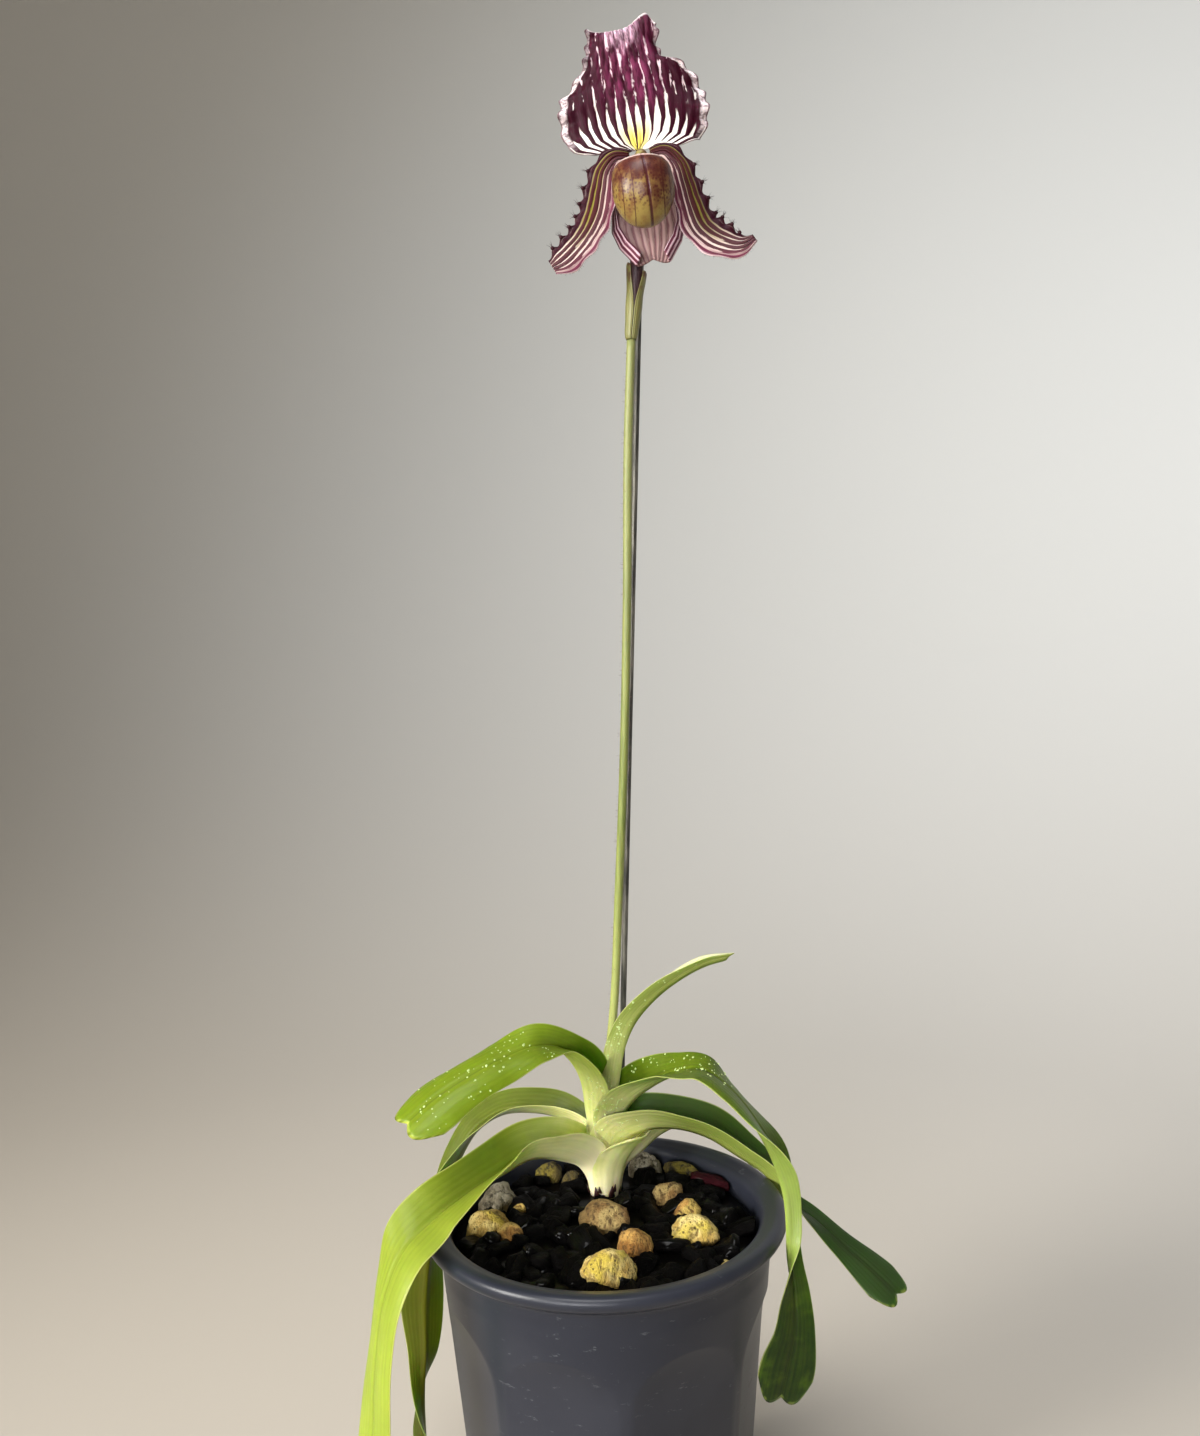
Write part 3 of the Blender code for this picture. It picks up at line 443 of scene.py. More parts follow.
LEAF_COLOURS = {
    "leaf_1": ((0.12, 0.14, 0.02), (0.5, 0.52, 0.3), (0.17, 0.2, 0.04), 0.4),
    "leaf_2": ((0.16, 0.22, 0.014), (0.15, 0.21, 0.008), (0.46, 0.55, 0.09), 0.32),
    "leaf_3": ((0.1, 0.12, 0.012), (0.055, 0.058, 0.003), (0.085, 0.085, 0.004), 0.22),
    "leaf_4": ((0.2, 0.25, 0.02), (0.3, 0.38, 0.04), (0.3, 0.27, 0.014), 0.34),
    # leaf_5's deep green, on its hanging part at the shaded right, is partly painted shade: darker
    # than the leaf's own green.
    "leaf_5": ((0.09, 0.13, 0.005), (0.005, 0.014, 0.0015), (0.2, 0.26, 0.05), 0.24, 0.72),
    "leaf_6": ((0.03, 0.045, 0.006), (0.03, 0.05, 0.014), (0.26, 0.31, 0.06), 0.22),
    "leaf_7": ((0.2, 0.26, 0.06), (0.12, 0.17, 0.04), (0.36, 0.4, 0.15), 0.4),
}
leaf_coats = {name: leaf_coat(name + "_finish", *values) for name, values in LEAF_COLOURS.items()}

# %% [markdown]
# The blades are thick at the keel and thin towards the margin, and the margin waves a little. Each
# runs on down below its first station as a tapering sheath, so that the neck seems to grow from it.
# %% Leaf blades
ACROSS_CELLS, CELL_LENGTH = 28, 1.15
MARGIN_WAVE = 0.35
SHEATH_FOOT, SHEATH_TAPER = -10.0, 0.74
LEAF_FOOT = 0.6


def leaf_shape(name):
    across, rows = LEAVES[name]
    x, y, _, half, *bend = rows[0]
    rows = from_rim(((x * SHEATH_TAPER, y, SHEATH_FOOT, half * SHEATH_TAPER, *bend), *rows))
    seed = float(name[-1])

    def shape(s, t):
        spots = leaf_points(rows, across, s, t)
        wave = MARGIN_WAVE * np.abs(s) ** 3 * np.sin(t * 21 + seed * 2 + s * 1.5)
        spots[:, 2] += wave * smooth(0.2, 0.4, t)
        return spots

    return shape


def leaf_half(s, t):
    """Half of the thickness: a firm keel, a thin blade, and a fleshy foot."""
    keel = 0.3 * np.exp(-(s / 0.16) ** 2)
    return 0.34 + keel + LEAF_FOOT * (1 - smooth(0.0, 0.17, t)) * (1 - s ** 2)


def leaf_groove(s, t):
    """How far the middle sinks: a crease along the upper face, a ridge below."""
    return 0.45 * np.exp(-(s / 0.07) ** 2) * smooth(0.1, 0.3, t)


for name, (across, rows) in LEAVES.items():
    cells = int(leaf_length(rows) / CELL_LENGTH)
    leaf = blade(leaf_shape(name), leaf_half, ACROSS_CELLS, cells, sink=leaf_groove)
    put(leaf, name + "_blade", leaf_coats[name], [name])

# %% [markdown]
# The oldest leaf's sheath wraps the front of the neck like a cup. It widens upwards, leans right
# and ends in a waved lip, from which that leaf's blade runs on behind. Its profile gives a radius
# for each height above the rim.
# %% Front sheath
SHEATH_MIDDLE, SHEATH_SPREAD = math.radians(38), math.radians(90)
SHEATH_PROFILE = ((-10, 3.9), (-6, 4.3), (-2, 5.0), (2, 6.1), (6, 7.4), (10, 9.0), (14, 11.6))


def sheath_shape(s, t):
    turn = SHEATH_MIDDLE + SHEATH_SPREAD * s
    lip = 6.9 + 7.5 * smooth(-0.8, 0.2, turn) - 1.4 * smooth(0.8, 1.9, turn)
    lip += 0.4 * np.sin(turn * 5)
    height = -10 + (lip + 10) * t
    radius = np.interp(height, *np.transpose(SHEATH_PROFILE)) + 0.12 * np.sin(9 * turn)
    radius += 0.8 * smooth(0.9, 1.0, t) * np.sin(turn * 3 + 1)
    lean = np.clip((height - 2) / 11, 0, None) ** 1.6
    x = 0.2 + 4.4 * lean + radius * np.sin(turn)
    return np.column_stack((x, 25 + 0.5 * lean - radius * np.cos(turn), POT_HEIGHT + height))


def sheath_half(s, t):
    return 0.3 + 0.5 * (1 - smooth(0.3, 0.9, t)) + 0 * s


sheath_coat = leaf_coat("sheath_finish", *[(0.3, 0.34, 0.08)] * 3, pale_end=2.2)
put(blade(sheath_shape, sheath_half, 40, 50), "front_sheath", sheath_coat)

# %% [markdown]
# ## The crown
# Below the leaves a short neck narrows into the bark, where four roots run down from it. It is
# creamy, and stained dark near the bark. The clasping feet of the leaves hide its top.
# %% Neck finish
neck_coat = Coat("crown_finish", "crown_white", 0.42, Subsurface_Weight=0.15,
                 Subsurface_Scale=0.003)
height = neck_coat.height()
fibre = neck_coat.cloud(neck_coat.stretch(neck_coat.spot(), (1, 1, 0.2)), 420.0, 4.0, 0.6)
stain = neck_coat.cloud(neck_coat.spot(), 300.0, 3.0) + (SOIL * MM - height) * 160
neck_coat.set(Base_Color=neck_coat.over(
    (0.85, 0.78, 0.46),
    (fibre.ramp(0.35, 0.7), (0.66, 0.58, 0.24)),
    (stain.ramp(0.35, 0.75), (0.03, 0.012, 0.008))))
neck_coat.bump(fibre, 0.0003, 0.6)

# %% Neck and roots
CROWN = (0.0, 25.0)
NECK = ((2.4, 70), (4.2, 98), (4.3, 106), (4.3, 110), (4.5, 113), (5.0, 115.5), (5.0, 118),
        (4.2, 121), (2.4, 124), (0.6, 126))
ROOTS, ROOT_LEAN, ROOT_LENGTH, ROOT_TOP, ROOT_RADII = 4, 14.0, 58.0, 87.5, (1.8, 1.1)


def cone(bm, sides, radii, length, matrix):
    bmesh.ops.create_cone(bm, cap_ends=True, segments=sides, radius1=radii[0], radius2=radii[1],
                          depth=length, matrix=matrix)


def turned(bm, profile, steps):
    """Spin a profile of (radius, height) points a full turn round the upright axis."""
    verts = [bm.verts.new((radius, 0, height)) for radius, height in profile]
    edges = [bm.edges.new(pair) for pair in zip(verts, verts[1:])]
    bmesh.ops.spin(bm, geom=verts + edges, axis=(0, 0, 1), cent=(0, 0, 0), steps=steps,
                   angle=math.tau, use_merge=True)
    bmesh.ops.remove_doubles(bm, verts=bm.verts, dist=MERGE)
    bmesh.ops.recalc_face_normals(bm, faces=bm.faces)


def cubic_profile(points, count):
    """More points on a smooth line through a few."""
    line = np.column_stack((np.array(points, float), np.zeros(len(points))))
    return flow(line, np.linspace(0, 1, count))[:, :2]


bm = bmesh.new()
turned(bm, [(0, NECK[0][1]), *cubic_profile(NECK, 40), (0, NECK[-1][1])], 40)
for vert in bm.verts:
    turn = math.atan2(vert.co.y, vert.co.x)
    swell = 1 + 0.035 * math.sin(7 * turn + vert.co.z * 0.12) + 0.03 * noise.noise(vert.co * 0.5)
    vert.co.x = vert.co.x * swell + CROWN[0]
    vert.co.y = vert.co.y * swell + CROWN[1]
for k in range(ROOTS):
    lean = Matrix.Rotation(math.tau * (k + 0.4) / ROOTS, 4, "Z")
    lean = lean @ Matrix.Rotation(math.radians(180 - ROOT_LEAN), 4, "Y")
    start = Matrix.Translation((*CROWN, ROOT_TOP))
    middle = Matrix.Translation((0, 0, ROOT_LENGTH / 2))
    cone(bm, 12, ROOT_RADII, ROOT_LENGTH, start @ lean @ middle)
put(bm, "crown_neck", neck_coat, ["crown"])

# %% [markdown]
# A few small dark scales stand where the neck meets the bark. Each is a flattened cone, and its row
# gives the turn round the neck in degrees, the rise and the size.
# %% Root scales
ROOT_SCALES = ((-30, 0.4, 1.6), (-18, 1.4, 1.0), (24, 0.6, 1.7), (36, 1.6, 1.1), (62, 0.1, 1.1),
               (-80, 0.2, 1.0), (130, 0.3, 1.2), (-150, 0.2, 1.1))
SCALE_RING, SCALE_LEAN, SCALE_FLATNESS, SCALE_FOOT = 5.5, 16, 0.5, SOIL + 0.9
scale_coat = Coat("scale_finish", "crown_white", 0.5, Base_Color=(0.035, 0.008, 0.008))
bm = bmesh.new()
for turn, rise, size in ROOT_SCALES:
    around = Matrix.Rotation(math.radians(turn), 4, "Z")
    lean = Matrix.Rotation(math.radians(SCALE_LEAN), 4, "X")
    lean = lean @ Matrix.Diagonal((1, SCALE_FLATNESS, 1, 1))
    out = Matrix.Translation((0, -SCALE_RING, 0))
    spot = Matrix.Translation((*CROWN, SCALE_FOOT + rise)) @ around @ out
    cone(bm, 10, (size * 0.75, size * 0.12), size * 2.4, spot @ lean)
put(bm, "root_scales", scale_coat)

# %% [markdown]
# ## Stems
# The flower stem is a slim tube with short hairs all over. Hairs are three-sided spikes, because
# they are too fine to show more.
# %% Tubes and hairs
def thick_line(path, radii, at):
    return flow(np.column_stack((np.asarray(path, float), np.asarray(radii, float))), at)


def stand(spot, way):
    """The matrix that puts an upright thing on a spot and points it along a direction."""
    turn = Vector((0, 0, 1)).rotation_difference(Vector(way)).to_matrix().to_4x4()
    return Matrix.Translation(Vector(spot)) @ turn


def tube(path, radii, sides, rings):
    bm = bmesh.new()
    row = thick_line(path, radii, np.linspace(0, 1, rings))
    loops = []
    for k in range(rings):
        ahead = Vector(row[min(k + 1, rings - 1), :3] - row[max(k - 1, 0), :3]).normalized()
        made = bmesh.ops.create_circle(bm, segments=sides, radius=row[k, 3],
                                       matrix=stand(row[k, :3], ahead))
        loops.append(made["verts"])
    for lower, upper in zip(loops, loops[1:]):
        for k in range(sides):
            bm.faces.new((lower[k - 1], lower[k], upper[k], upper[k - 1]))
    bm.faces.new(loops[0][::-1])
    bm.faces.new(loops[-1])
    bmesh.ops.recalc_face_normals(bm, faces=bm.faces)
    return bm


def spike(bm, foot, way, length, radius):
    """One hair: its foot is sunk a little into what carries it."""
    raised = Matrix.Translation((0, 0, length * 0.45))
    cone(bm, 3, (radius, radius * 0.15), length, stand(foot, way) @ raised)


def fur_on_tube(bm, path, radii, count, length, radius, seed):
    draw = np.random.default_rng(seed)
    for spot in thick_line(path, radii, np.sort(draw.random(count))):
        turn = draw.random() * math.tau
        out = Vector((math.cos(turn), math.sin(turn), draw.normal() * 0.25)).normalized()
        foot = Vector(spot[:3]) + out * float(spot[3])
        spike(bm, foot, out, length * (0.6 + 0.7 * draw.random()), radius)


stem_coat = Coat("stem_finish", "stem_green", 0.5, Subsurface_Weight=0.1, Subsurface_Scale=0.002)
grain = stem_coat.cloud(stem_coat.stretch(stem_coat.spot(), (1, 1, 0.06)), 900.0, 4.0)
height = stem_coat.height()
stem_coat.set(Base_Color=stem_coat.over(
    (0.2, 0.23, 0.05),
    (grain.ramp(0.35, 0.7), (0.1, 0.13, 0.02)),
    (height.ramp(0.15, 0.24, 0.7, 0.0), (0.4, 0.43, 0.13)),
    (height.ramp(0.22, 0.36) * 0.7, (0.26, 0.27, 0.1))))
stem_coat.bump(grain, 0.0002, 0.5)

hair_coat = Coat("hair_finish", "stem_green", 0.6, Base_Color=(0.2, 0.13, 0.1))

# %% Flower stem
SCAPE_RADIUS, STEM_HAIRS, OVARY_HAIRS = 1.35, 1500, 420
SCAPE_PATH = from_rim(((1.0, 26.0, 4), (1.4, 25.8, 16), (2.2, 24.8, 32), (5, 23, 57), (7.3, 21, 90),
                       (9.5, 19, 122), (12.7, 16, 184), (14.4, 13.5, 232), (16.2, 12.2, 262)))
stem_radii = np.full(len(SCAPE_PATH), SCAPE_RADIUS)
put(tube(SCAPE_PATH, stem_radii, 20, 90), "scape_stem", stem_coat, ["scape"])
bm = bmesh.new()
fur_on_tube(bm, SCAPE_PATH[2:], stem_radii[2:], STEM_HAIRS, 1.0, 0.045, 3)
put(bm, "scape_hairs", hair_coat, smooth_faces=False)

# %% [markdown]
# The ovary is the dark, downy stalk behind the flower. It nods forward at its top.
# %% Ovary
OVARY_PATH = from_rim(((16.2, 12.2, 262.5), (17.1, 12.4, 270), (18.4, 12.8, 282), (19.4, 13, 295),
                       (20.1, 12.2, 305), (20.1, 9.6, 310.4), (20.0, 7.4, 311.4)))
OVARY_RADII = (1.3, 1.7, 2.1, 2.2, 2.0, 1.9, 1.8)
ovary_coat = Coat("ovary_finish", "ovary_purple", 0.5)
grain = ovary_coat.cloud(ovary_coat.stretch(ovary_coat.spot(), (1, 1, 0.15)), 700.0, 4.0)
colour = ovary_coat.mix(grain.ramp(0.35, 0.7), (0.035, 0.012, 0.018), (0.1, 0.05, 0.045))
ovary_coat.set(Base_Color=colour)
ovary_coat.bump(grain, 0.0004, 0.7)
bm = tube(OVARY_PATH, OVARY_RADII, 24, 48)
for vert in bm.verts:
    rib = noise.noise(Vector((vert.co.x * 0.9, vert.co.y * 0.9, vert.co.z * 0.05)))
    vert.co.x += 0.12 * rib
put(bm, "ovary_stalk", ovary_coat, ["ovary"])
bm = bmesh.new()
fur_on_tube(bm, OVARY_PATH, OVARY_RADII, OVARY_HAIRS, 0.9, 0.04, 4)
put(bm, "ovary_hairs", hair_coat, smooth_faces=False)

# %% [markdown]
# The bract is a green sheath round the stem's top, open at the front, with two pointed lobes.
# %% Bract
BRACT_FOOT, BRACT_LENGTH = 261.6, 19.2


def bract_shape(s, t):
    """A sleeve that meets in front at its foot and parts towards its two pointed lobes."""
    turn = math.pi * (0.985 - 0.2 * smooth(0.45, 1.0, t)) * s
    lobe = 1.12 - 0.8 * (np.abs(turn) / math.pi - 0.6) ** 2 - 0.08 * np.sin(turn)
    height = POT_HEIGHT + BRACT_FOOT + BRACT_LENGTH * t * lobe
    x = np.interp(height, OVARY_PATH[:4, 2], OVARY_PATH[:4, 0])
    y = np.interp(height, OVARY_PATH[:4, 2], OVARY_PATH[:4, 1])
    radius = 1.45 + 0.4 * smooth(0, 0.12, t) + 0.45 * smooth(0.1, 0.5, t)
    radius += 0.65 * smooth(0.6, 1.0, t)
    return np.column_stack((x + radius * np.sin(turn), y + radius * np.cos(turn), height))


bract_coat = Coat("bract_finish", "bract_green", 0.45, Subsurface_Weight=0.1,
                  Subsurface_Scale=0.002)
s, t = bract_coat.read("across"), bract_coat.read("along")
lines = (s * 60).sin() * 0.5 + 0.5
patch = bract_coat.cloud(bract_coat.spot(), 350.0, 3.0)
bract_coat.set(Base_Color=bract_coat.over(
    (0.2, 0.19, 0.06),
    (lines * 0.35, (0.12, 0.115, 0.035)),
    (patch.ramp(0.5, 0.75) * t.ramp(0.3, 0.9), (0.12, 0.05, 0.03))))
bract_coat.bump(lines, 0.0001, 0.6)
put(blade(bract_shape, even(0.3), 40, 40), "bract_sheath", bract_coat, ["bract"])

# %% [markdown]
# The stake is a plain dull rod, so its solid stays and only gets a finish.
# %% Stake
stake_coat = Coat("stake_finish", "stake_metal", 0.4, Metallic=0.5)
scuff = stake_coat.cloud(stake_coat.stretch(stake_coat.spot(), (1, 1, 0.1)), 500.0, 4.0)
colour = stake_coat.mix(scuff.ramp(0.4, 0.75), (0.05, 0.05, 0.045), (0.22, 0.21, 0.18))
stake_coat.set(Base_Color=colour, Roughness=scuff * 0.3 + 0.25)
keep("stake", stake_coat)

# %% [markdown]
# ## The flower
# Its own axes make it easier to draw: u runs right, v up and n towards the viewer, from the column.
# %% Flower axes
FLOWER_AT = (20.0, 3.0, 311.8)
FLOWER_ROLL = math.radians(5.5)


def flower_points(u, v, n):
    x = FLOWER_AT[0] + u * math.cos(FLOWER_ROLL) - v * math.sin(FLOWER_ROLL)
    z = POT_HEIGHT + FLOWER_AT[2] + u * math.sin(FLOWER_ROLL) + v * math.cos(FLOWER_ROLL)
    return np.column_stack((x, FLOWER_AT[1] - n, z))


# %% [markdown]
# The hood is the broad upper sepal. Dark veins fan out over white from a yellow base, and run
# together into maroon towards the top, which is folded back. The margins are waved and pale. Each
# row of its edge gives the place along it and the half width to the left and to the right.
# %% Hood
DORSAL_EDGE = ((0, 3.2, 3.2), (0.06, 13, 13), (0.14, 18.8, 19), (0.25, 21.2, 22),
               (0.38, 21.6, 22.7), (0.5, 20.4, 21.6), (0.58, 16.8, 19.8), (0.64, 14.2, 17.2),
               (0.7, 12.2, 12), (0.8, 10.9, 10.4), (0.92, 9.8, 11.4), (1, 9.6, 10.6))
DORSAL_FOOT, DORSAL_HEIGHT, CREST_AT = 2.9, 38.9, 0.78
FOLD_START, FOLD_BACK, DROP_START, DROP = 0.9, 26, 0.93, 16
RIPPLES, FRILLS = 3.3, 9


def dorsal_half(s, t):
    knots, left, right = np.transpose(DORSAL_EDGE)
    return np.where(s < 0, np.interp(t, knots, left), np.interp(t, knots, right))


def dorsal_shape(s, t):
    m, side = np.abs(s), np.sign(s)
    u = s * dorsal_half(s, t) - 1.2 * t
    lobe = 5.5 * np.clip((np.abs(u) - 3.5) / 16, 0, 1) ** 1.3 * (1 - t) ** 2
    crest = 4.2 * np.exp(-((s - CREST_AT) / np.where(s < CREST_AT, 0.42, 0.13)) ** 2)
    crest += 1.8 * np.maximum(-s, 0) ** 6 - 1.6
    v = DORSAL_FOOT + DORSAL_HEIGHT * t - lobe + crest * t ** 6
    ripple = np.sin(math.tau * (RIPPLES * t + 0.12 * side))
    n = -2.6 - 0.07 * v + 1.4 * m ** 3 * ripple - 2.2 * m ** 2 * np.sin(math.pi * t)
    n -= FOLD_BACK * np.maximum(t - FOLD_START, 0) ** 1.3
    v -= DROP * np.maximum(t - DROP_START, 0)
    frill = 0.45 * m ** 8 * np.sin(math.tau * (FRILLS * t + 0.3 * side))
    return flower_points(u + frill * side, v, n + 0.25 * np.sin(s * 44) * (1 - m) + 2 * frill)


def hood_fan(s, t):
    """Place in the fan of veins: they spread from the base, then run straight up to the margin."""
    spread = np.interp(t, (0, 0.06, 0.14, 0.25, 0.4, 1), (3.4, 13, 18.6, 21.4, 22.4, 20))
    return s * dorsal_half(s, t) / spread


def petal_skin(name, roughness=0.45):
    return Coat(name, "sepal_maroon", roughness, Subsurface_Weight=0.06, Subsurface_Scale=0.002,
                Specular_IOR_Level=0.12)


def hood_coat():
    coat = petal_skin("hood_finish")
    s, t, q = coat.read("across"), coat.read("along"), coat.read("fan")
    drift = coat.cloud(coat.join(q * 4, t * 3, 0.0), 1.0, 2.0) - 0.5
    broad = coat.cloud(coat.join(q * 12, t * 6, 4.0), 1.0, 3.0, 0.6) - 0.5
    fine = coat.cloud(coat.join(q * 46, t * 11, 0.0), 1.0, 5.0, 0.65)
    vein = ((q + drift * 0.09) * 47 + 1.57).sin()
    need = t.ramp(0.02, 0.24, 0.72, 0.3)
    need = need + (t + abs(q) * 0.05 + drift * 0.2).ramp(0.17, 0.42, 0.0, -1.4)
    need = need + broad * t.ramp(0.15, 0.5, 0.5, 2.7) + (fine - 0.5) * 0.8
    need = need - abs(q).ramp(0.3, 0.95) * 0.7
    dark = (vein - need).ramp(-0.16, 0.2)
    breaks = (coat.cloud(coat.join(q * 15, t * 9, 8.0), 1.0, 2.0, 0.5) + q * 0.07).ramp(0.56, 0.62)
    dashes = breaks * (fine * 1.4 - vein).ramp(1.15, 1.45) * t.ramp(0.34, 0.42, 0.0, 0.85)
    dark = dark * (1 - dashes * (1 - t.ramp(0.66, 0.78)))
    yellow = (1 - t.ramp(0.08, 0.27)) * (1 - abs(q).ramp(0.1, 0.34))
    white = coat.over(
        (0.86, 0.8, 0.72),
        (fine.ramp(0.4, 0.75) * 0.5, (0.74, 0.56, 0.6)),
        (t.ramp(0.35, 0.6) * 0.6, (0.72, 0.42, 0.55)),
        (yellow, (0.84, 0.68, 0.14)))
    lit = (1 - abs(q - 0.05).ramp(0.12, 0.6)) * (broad + 0.5).ramp(0.35, 0.65) * t.ramp(0.2, 0.45)
    lit = lit * 0.8 + (fine - 0.5).ramp(0.0, 0.3) * 0.3
    maroon = coat.mix(lit, (0.028, 0.001, 0.007), (0.18, 0.022, 0.075))
    blush = (t + broad * 0.5).ramp(0.72, 0.97) * (1 - abs(q - 0.02).ramp(0.08, 0.32))
    pale_side = abs(s + broad * 0.1).ramp(0.88, 0.92) * t.ramp(0.12, 0.3)
    pale_side = pale_side * (1 - t.ramp(0.62, 0.75) * 0.7)
    rays = coat.cloud(coat.join(s * 10, t * 46, 2.0), 1.0, 3.0, 0.6).ramp(0.42, 0.52, 0.35, 1.0)
    colour = coat.over(
        white,
        (dark, maroon),
        (blush * fine.ramp(0.35, 0.6) * 0.9, (0.86, 0.56, 0.7)),
        (pale_side * rays, (0.84, 0.7, 0.72)),
        (t.ramp(0.965, 0.99), (0.8, 0.68, 0.68)),
        (abs(s).ramp(0.972, 0.985) * 0.8, (0.05, 0.006, 0.016)))
    coat.set(Base_Color=colour, Roughness=fine * 0.2 + 0.35)
    coat.bump(vein * 0.6 + fine, 0.00025, 0.6)
    return coat


hood = blade(dorsal_shape, even(0.4), 90, 120, fan=hood_fan)
put(hood, "hood_sepal", hood_coat(), ["dorsal_sepal"])

# %% [markdown]
# The lower sepals are grown together behind the pouch, and their sides fold forward in two lobes.
# %% Lower sepals
LOBE_START, LOWER_LENGTH = 0.62, 25.4


def synsepal_shape(s, t):
    m = np.abs(s)
    half = np.interp(t, (0, .15, .4, .62, .8, 1), (2.6, 7, 10, 10.8, 9.2, 5))
    over = np.maximum(m - LOBE_START, 0) / (1 - LOBE_START)
    reach = np.minimum(m / LOBE_START, 1) - 0.34 * over * t
    v = -3.2 - LOWER_LENGTH * t - 1.2 * np.sin(math.pi * m) * t ** 4 + 1.6 * over ** 2 * t
    u = np.sign(s) * reach * half + 0.4 * t
    n = -3.6 - 0.9 * np.sin(math.pi * t) + 0.5 * np.cos(math.tau * s) * t * t
    return flower_points(u, v, n + 2.2 * np.sin(over * 1.9) * t)


def lower_coat():
    coat = petal_skin("lower_sepal_finish")
    s, t = coat.read("across"), coat.read("along")
    fine = coat.cloud(coat.join(s * 30, t * 6, 0.0), 1.0, 4.0, 0.7)
    vein = (s * 52 + fine * 3.4 + 1.0).sin()
    side = abs(s).ramp(0.5, 0.7)
    dark = (vein + side * 0.9 - 0.6 + (fine - 0.5) * 2.2).ramp(-0.25, 0.35) * (side * 0.35 + 0.6)
    pale = coat.mix(side, (0.32, 0.2, 0.19), (0.66, 0.44, 0.5))
    coat.set(Base_Color=coat.mix(dark, pale, (0.1, 0.01, 0.03)))
    coat.bump(vein + fine, 0.0002, 0.6)
    return coat


put(blade(synsepal_shape, even(0.35), 60, 60), "lower_sepals", lower_coat(), ["synsepal"])

# %% [markdown]
# The petals droop like a moustache. A band of olive with dark stripes runs down each one, the outer
# bands are pinkish, and the upper margin carries dark warts with tufts of hair. Each station gives
# u, v, n and the half width.
# %% Petal stations
PETALS = {
    "petal_left": ((-3, 0.8, -0.6, 1.6), (-7.4, 0.8, 0.2, 2.8), (-10.8, -2.4, 0.6, 3.8),
                   (-12.8, -8, 0.4, 4.7), (-14.9, -14.4, 0.6, 5.1), (-18.6, -20.4, 1.4, 5.0),
                   (-23.2, -25, 2.2, 4.9), (-27, -27.6, 2.4, 4.2), (-29.4, -28.6, 2.0, 2.6)),
    "petal_right": ((3, 0.8, -0.6, 1.6), (7.2, 0.8, 0.2, 2.6), (10.6, -2.8, 0.6, 3.4),
                    (12.2, -8.8, 0.4, 4.2), (13.3, -15.2, 0.6, 4.8), (15.6, -22.6, 1.2, 5.7),
                    (20.6, -27.2, 1.8, 5.4), (26.2, -29, 2.2, 3.4), (30.2, -27.6, 2.0, 1.4)),
}
WARTS = 9


def petal_shape(spine):
    outward = np.sign(spine[0][0])

    def shape(s, t):
        row = flow(spine, t)
        ahead = heading(spine, t)
        upward = outward * np.column_stack((-ahead[:, 1], ahead[:, 0], np.zeros(len(t))))
        bump = 0.5 * np.maximum(s, 0) ** 4 * np.sin(math.tau * WARTS * t) * np.minimum(t * 5, 1)
        frill = 0.35 * np.maximum(-s, 0) ** 5 * np.sin(math.tau * 6.5 * t)
        spot = row[:, :3] + (row[:, 3] * s + bump + frill)[:, None] * upward
        bend = 0.5 * s ** 2 * np.sin(math.tau * 3 * t) - 0.9 * s * np.minimum(t * 3, 1)
        ridge = 0.18 * np.sin(s * 17) * (1 - s ** 2)
        return flower_points(spot[:, 0], spot[:, 1], spot[:, 2] + bend + ridge + 1.2 * bump * s)

    return shape


def petal_coat():
    coat = petal_skin("petal_finish", 0.42)
    s, t = coat.read("across"), coat.read("along")
    fine = coat.cloud(coat.join(s * 26, t * 12, 0.0), 1.0, 4.0, 0.7)
    drift = coat.cloud(coat.join(s * 2.5, t * 3.5, 3.0), 1.0, 2.0) - 0.5
    vein = (s * 19.5 + fine * 1.2 + drift * 5 - 0.4).sin()
    olive = s.ramp(-0.25, 0.0) * (1 - s.ramp(0.5, 0.68)) * (1 - t.ramp(0.55, 0.9) * 0.8)
    dark = (vein + 0.35 + drift * 2 + (fine - 0.5) * 1.8).ramp(-0.2, 0.2)
    edge = s.ramp(0.5, 0.62) * (1 - s.ramp(0.95, 0.99) * 0.9)
    wash = (1 - s.ramp(-0.9, -0.3)) * (fine + drift + t * 0.25).ramp(0.5, 0.72)
    lower = (1 - s.ramp(-0.99, -0.9)) * fine.ramp(0.35, 0.55)
    colour = coat.over(
        (0.6, 0.44, 0.4),
        (t.ramp(0.35, 0.95) * fine.ramp(0.3, 0.65), (0.86, 0.72, 0.66)),
        (olive, (0.2, 0.17, 0.03)),
        (dark * 0.95, (0.05, 0.003, 0.012)),
        (edge * (fine.ramp(0.2, 0.5) * 0.4 + 0.6), (0.03, 0.003, 0.009)),
        (wash * 0.85, (0.14, 0.018, 0.05)),
        (lower, (0.7, 0.5, 0.52)))
    coat.set(Base_Color=colour, Roughness=fine * 0.2 + 0.3)
    coat.bump(vein * 0.5 + fine, 0.00025, 0.7)
    return coat


# %% Petals
def margin(shape, s, t):
    """A place near a petal's margin, and the way out from it."""
    spot, inner = shape(np.array([s, math.copysign(0.7, s)]), np.array([t, t]))
    return spot, Vector(spot - inner).normalized()


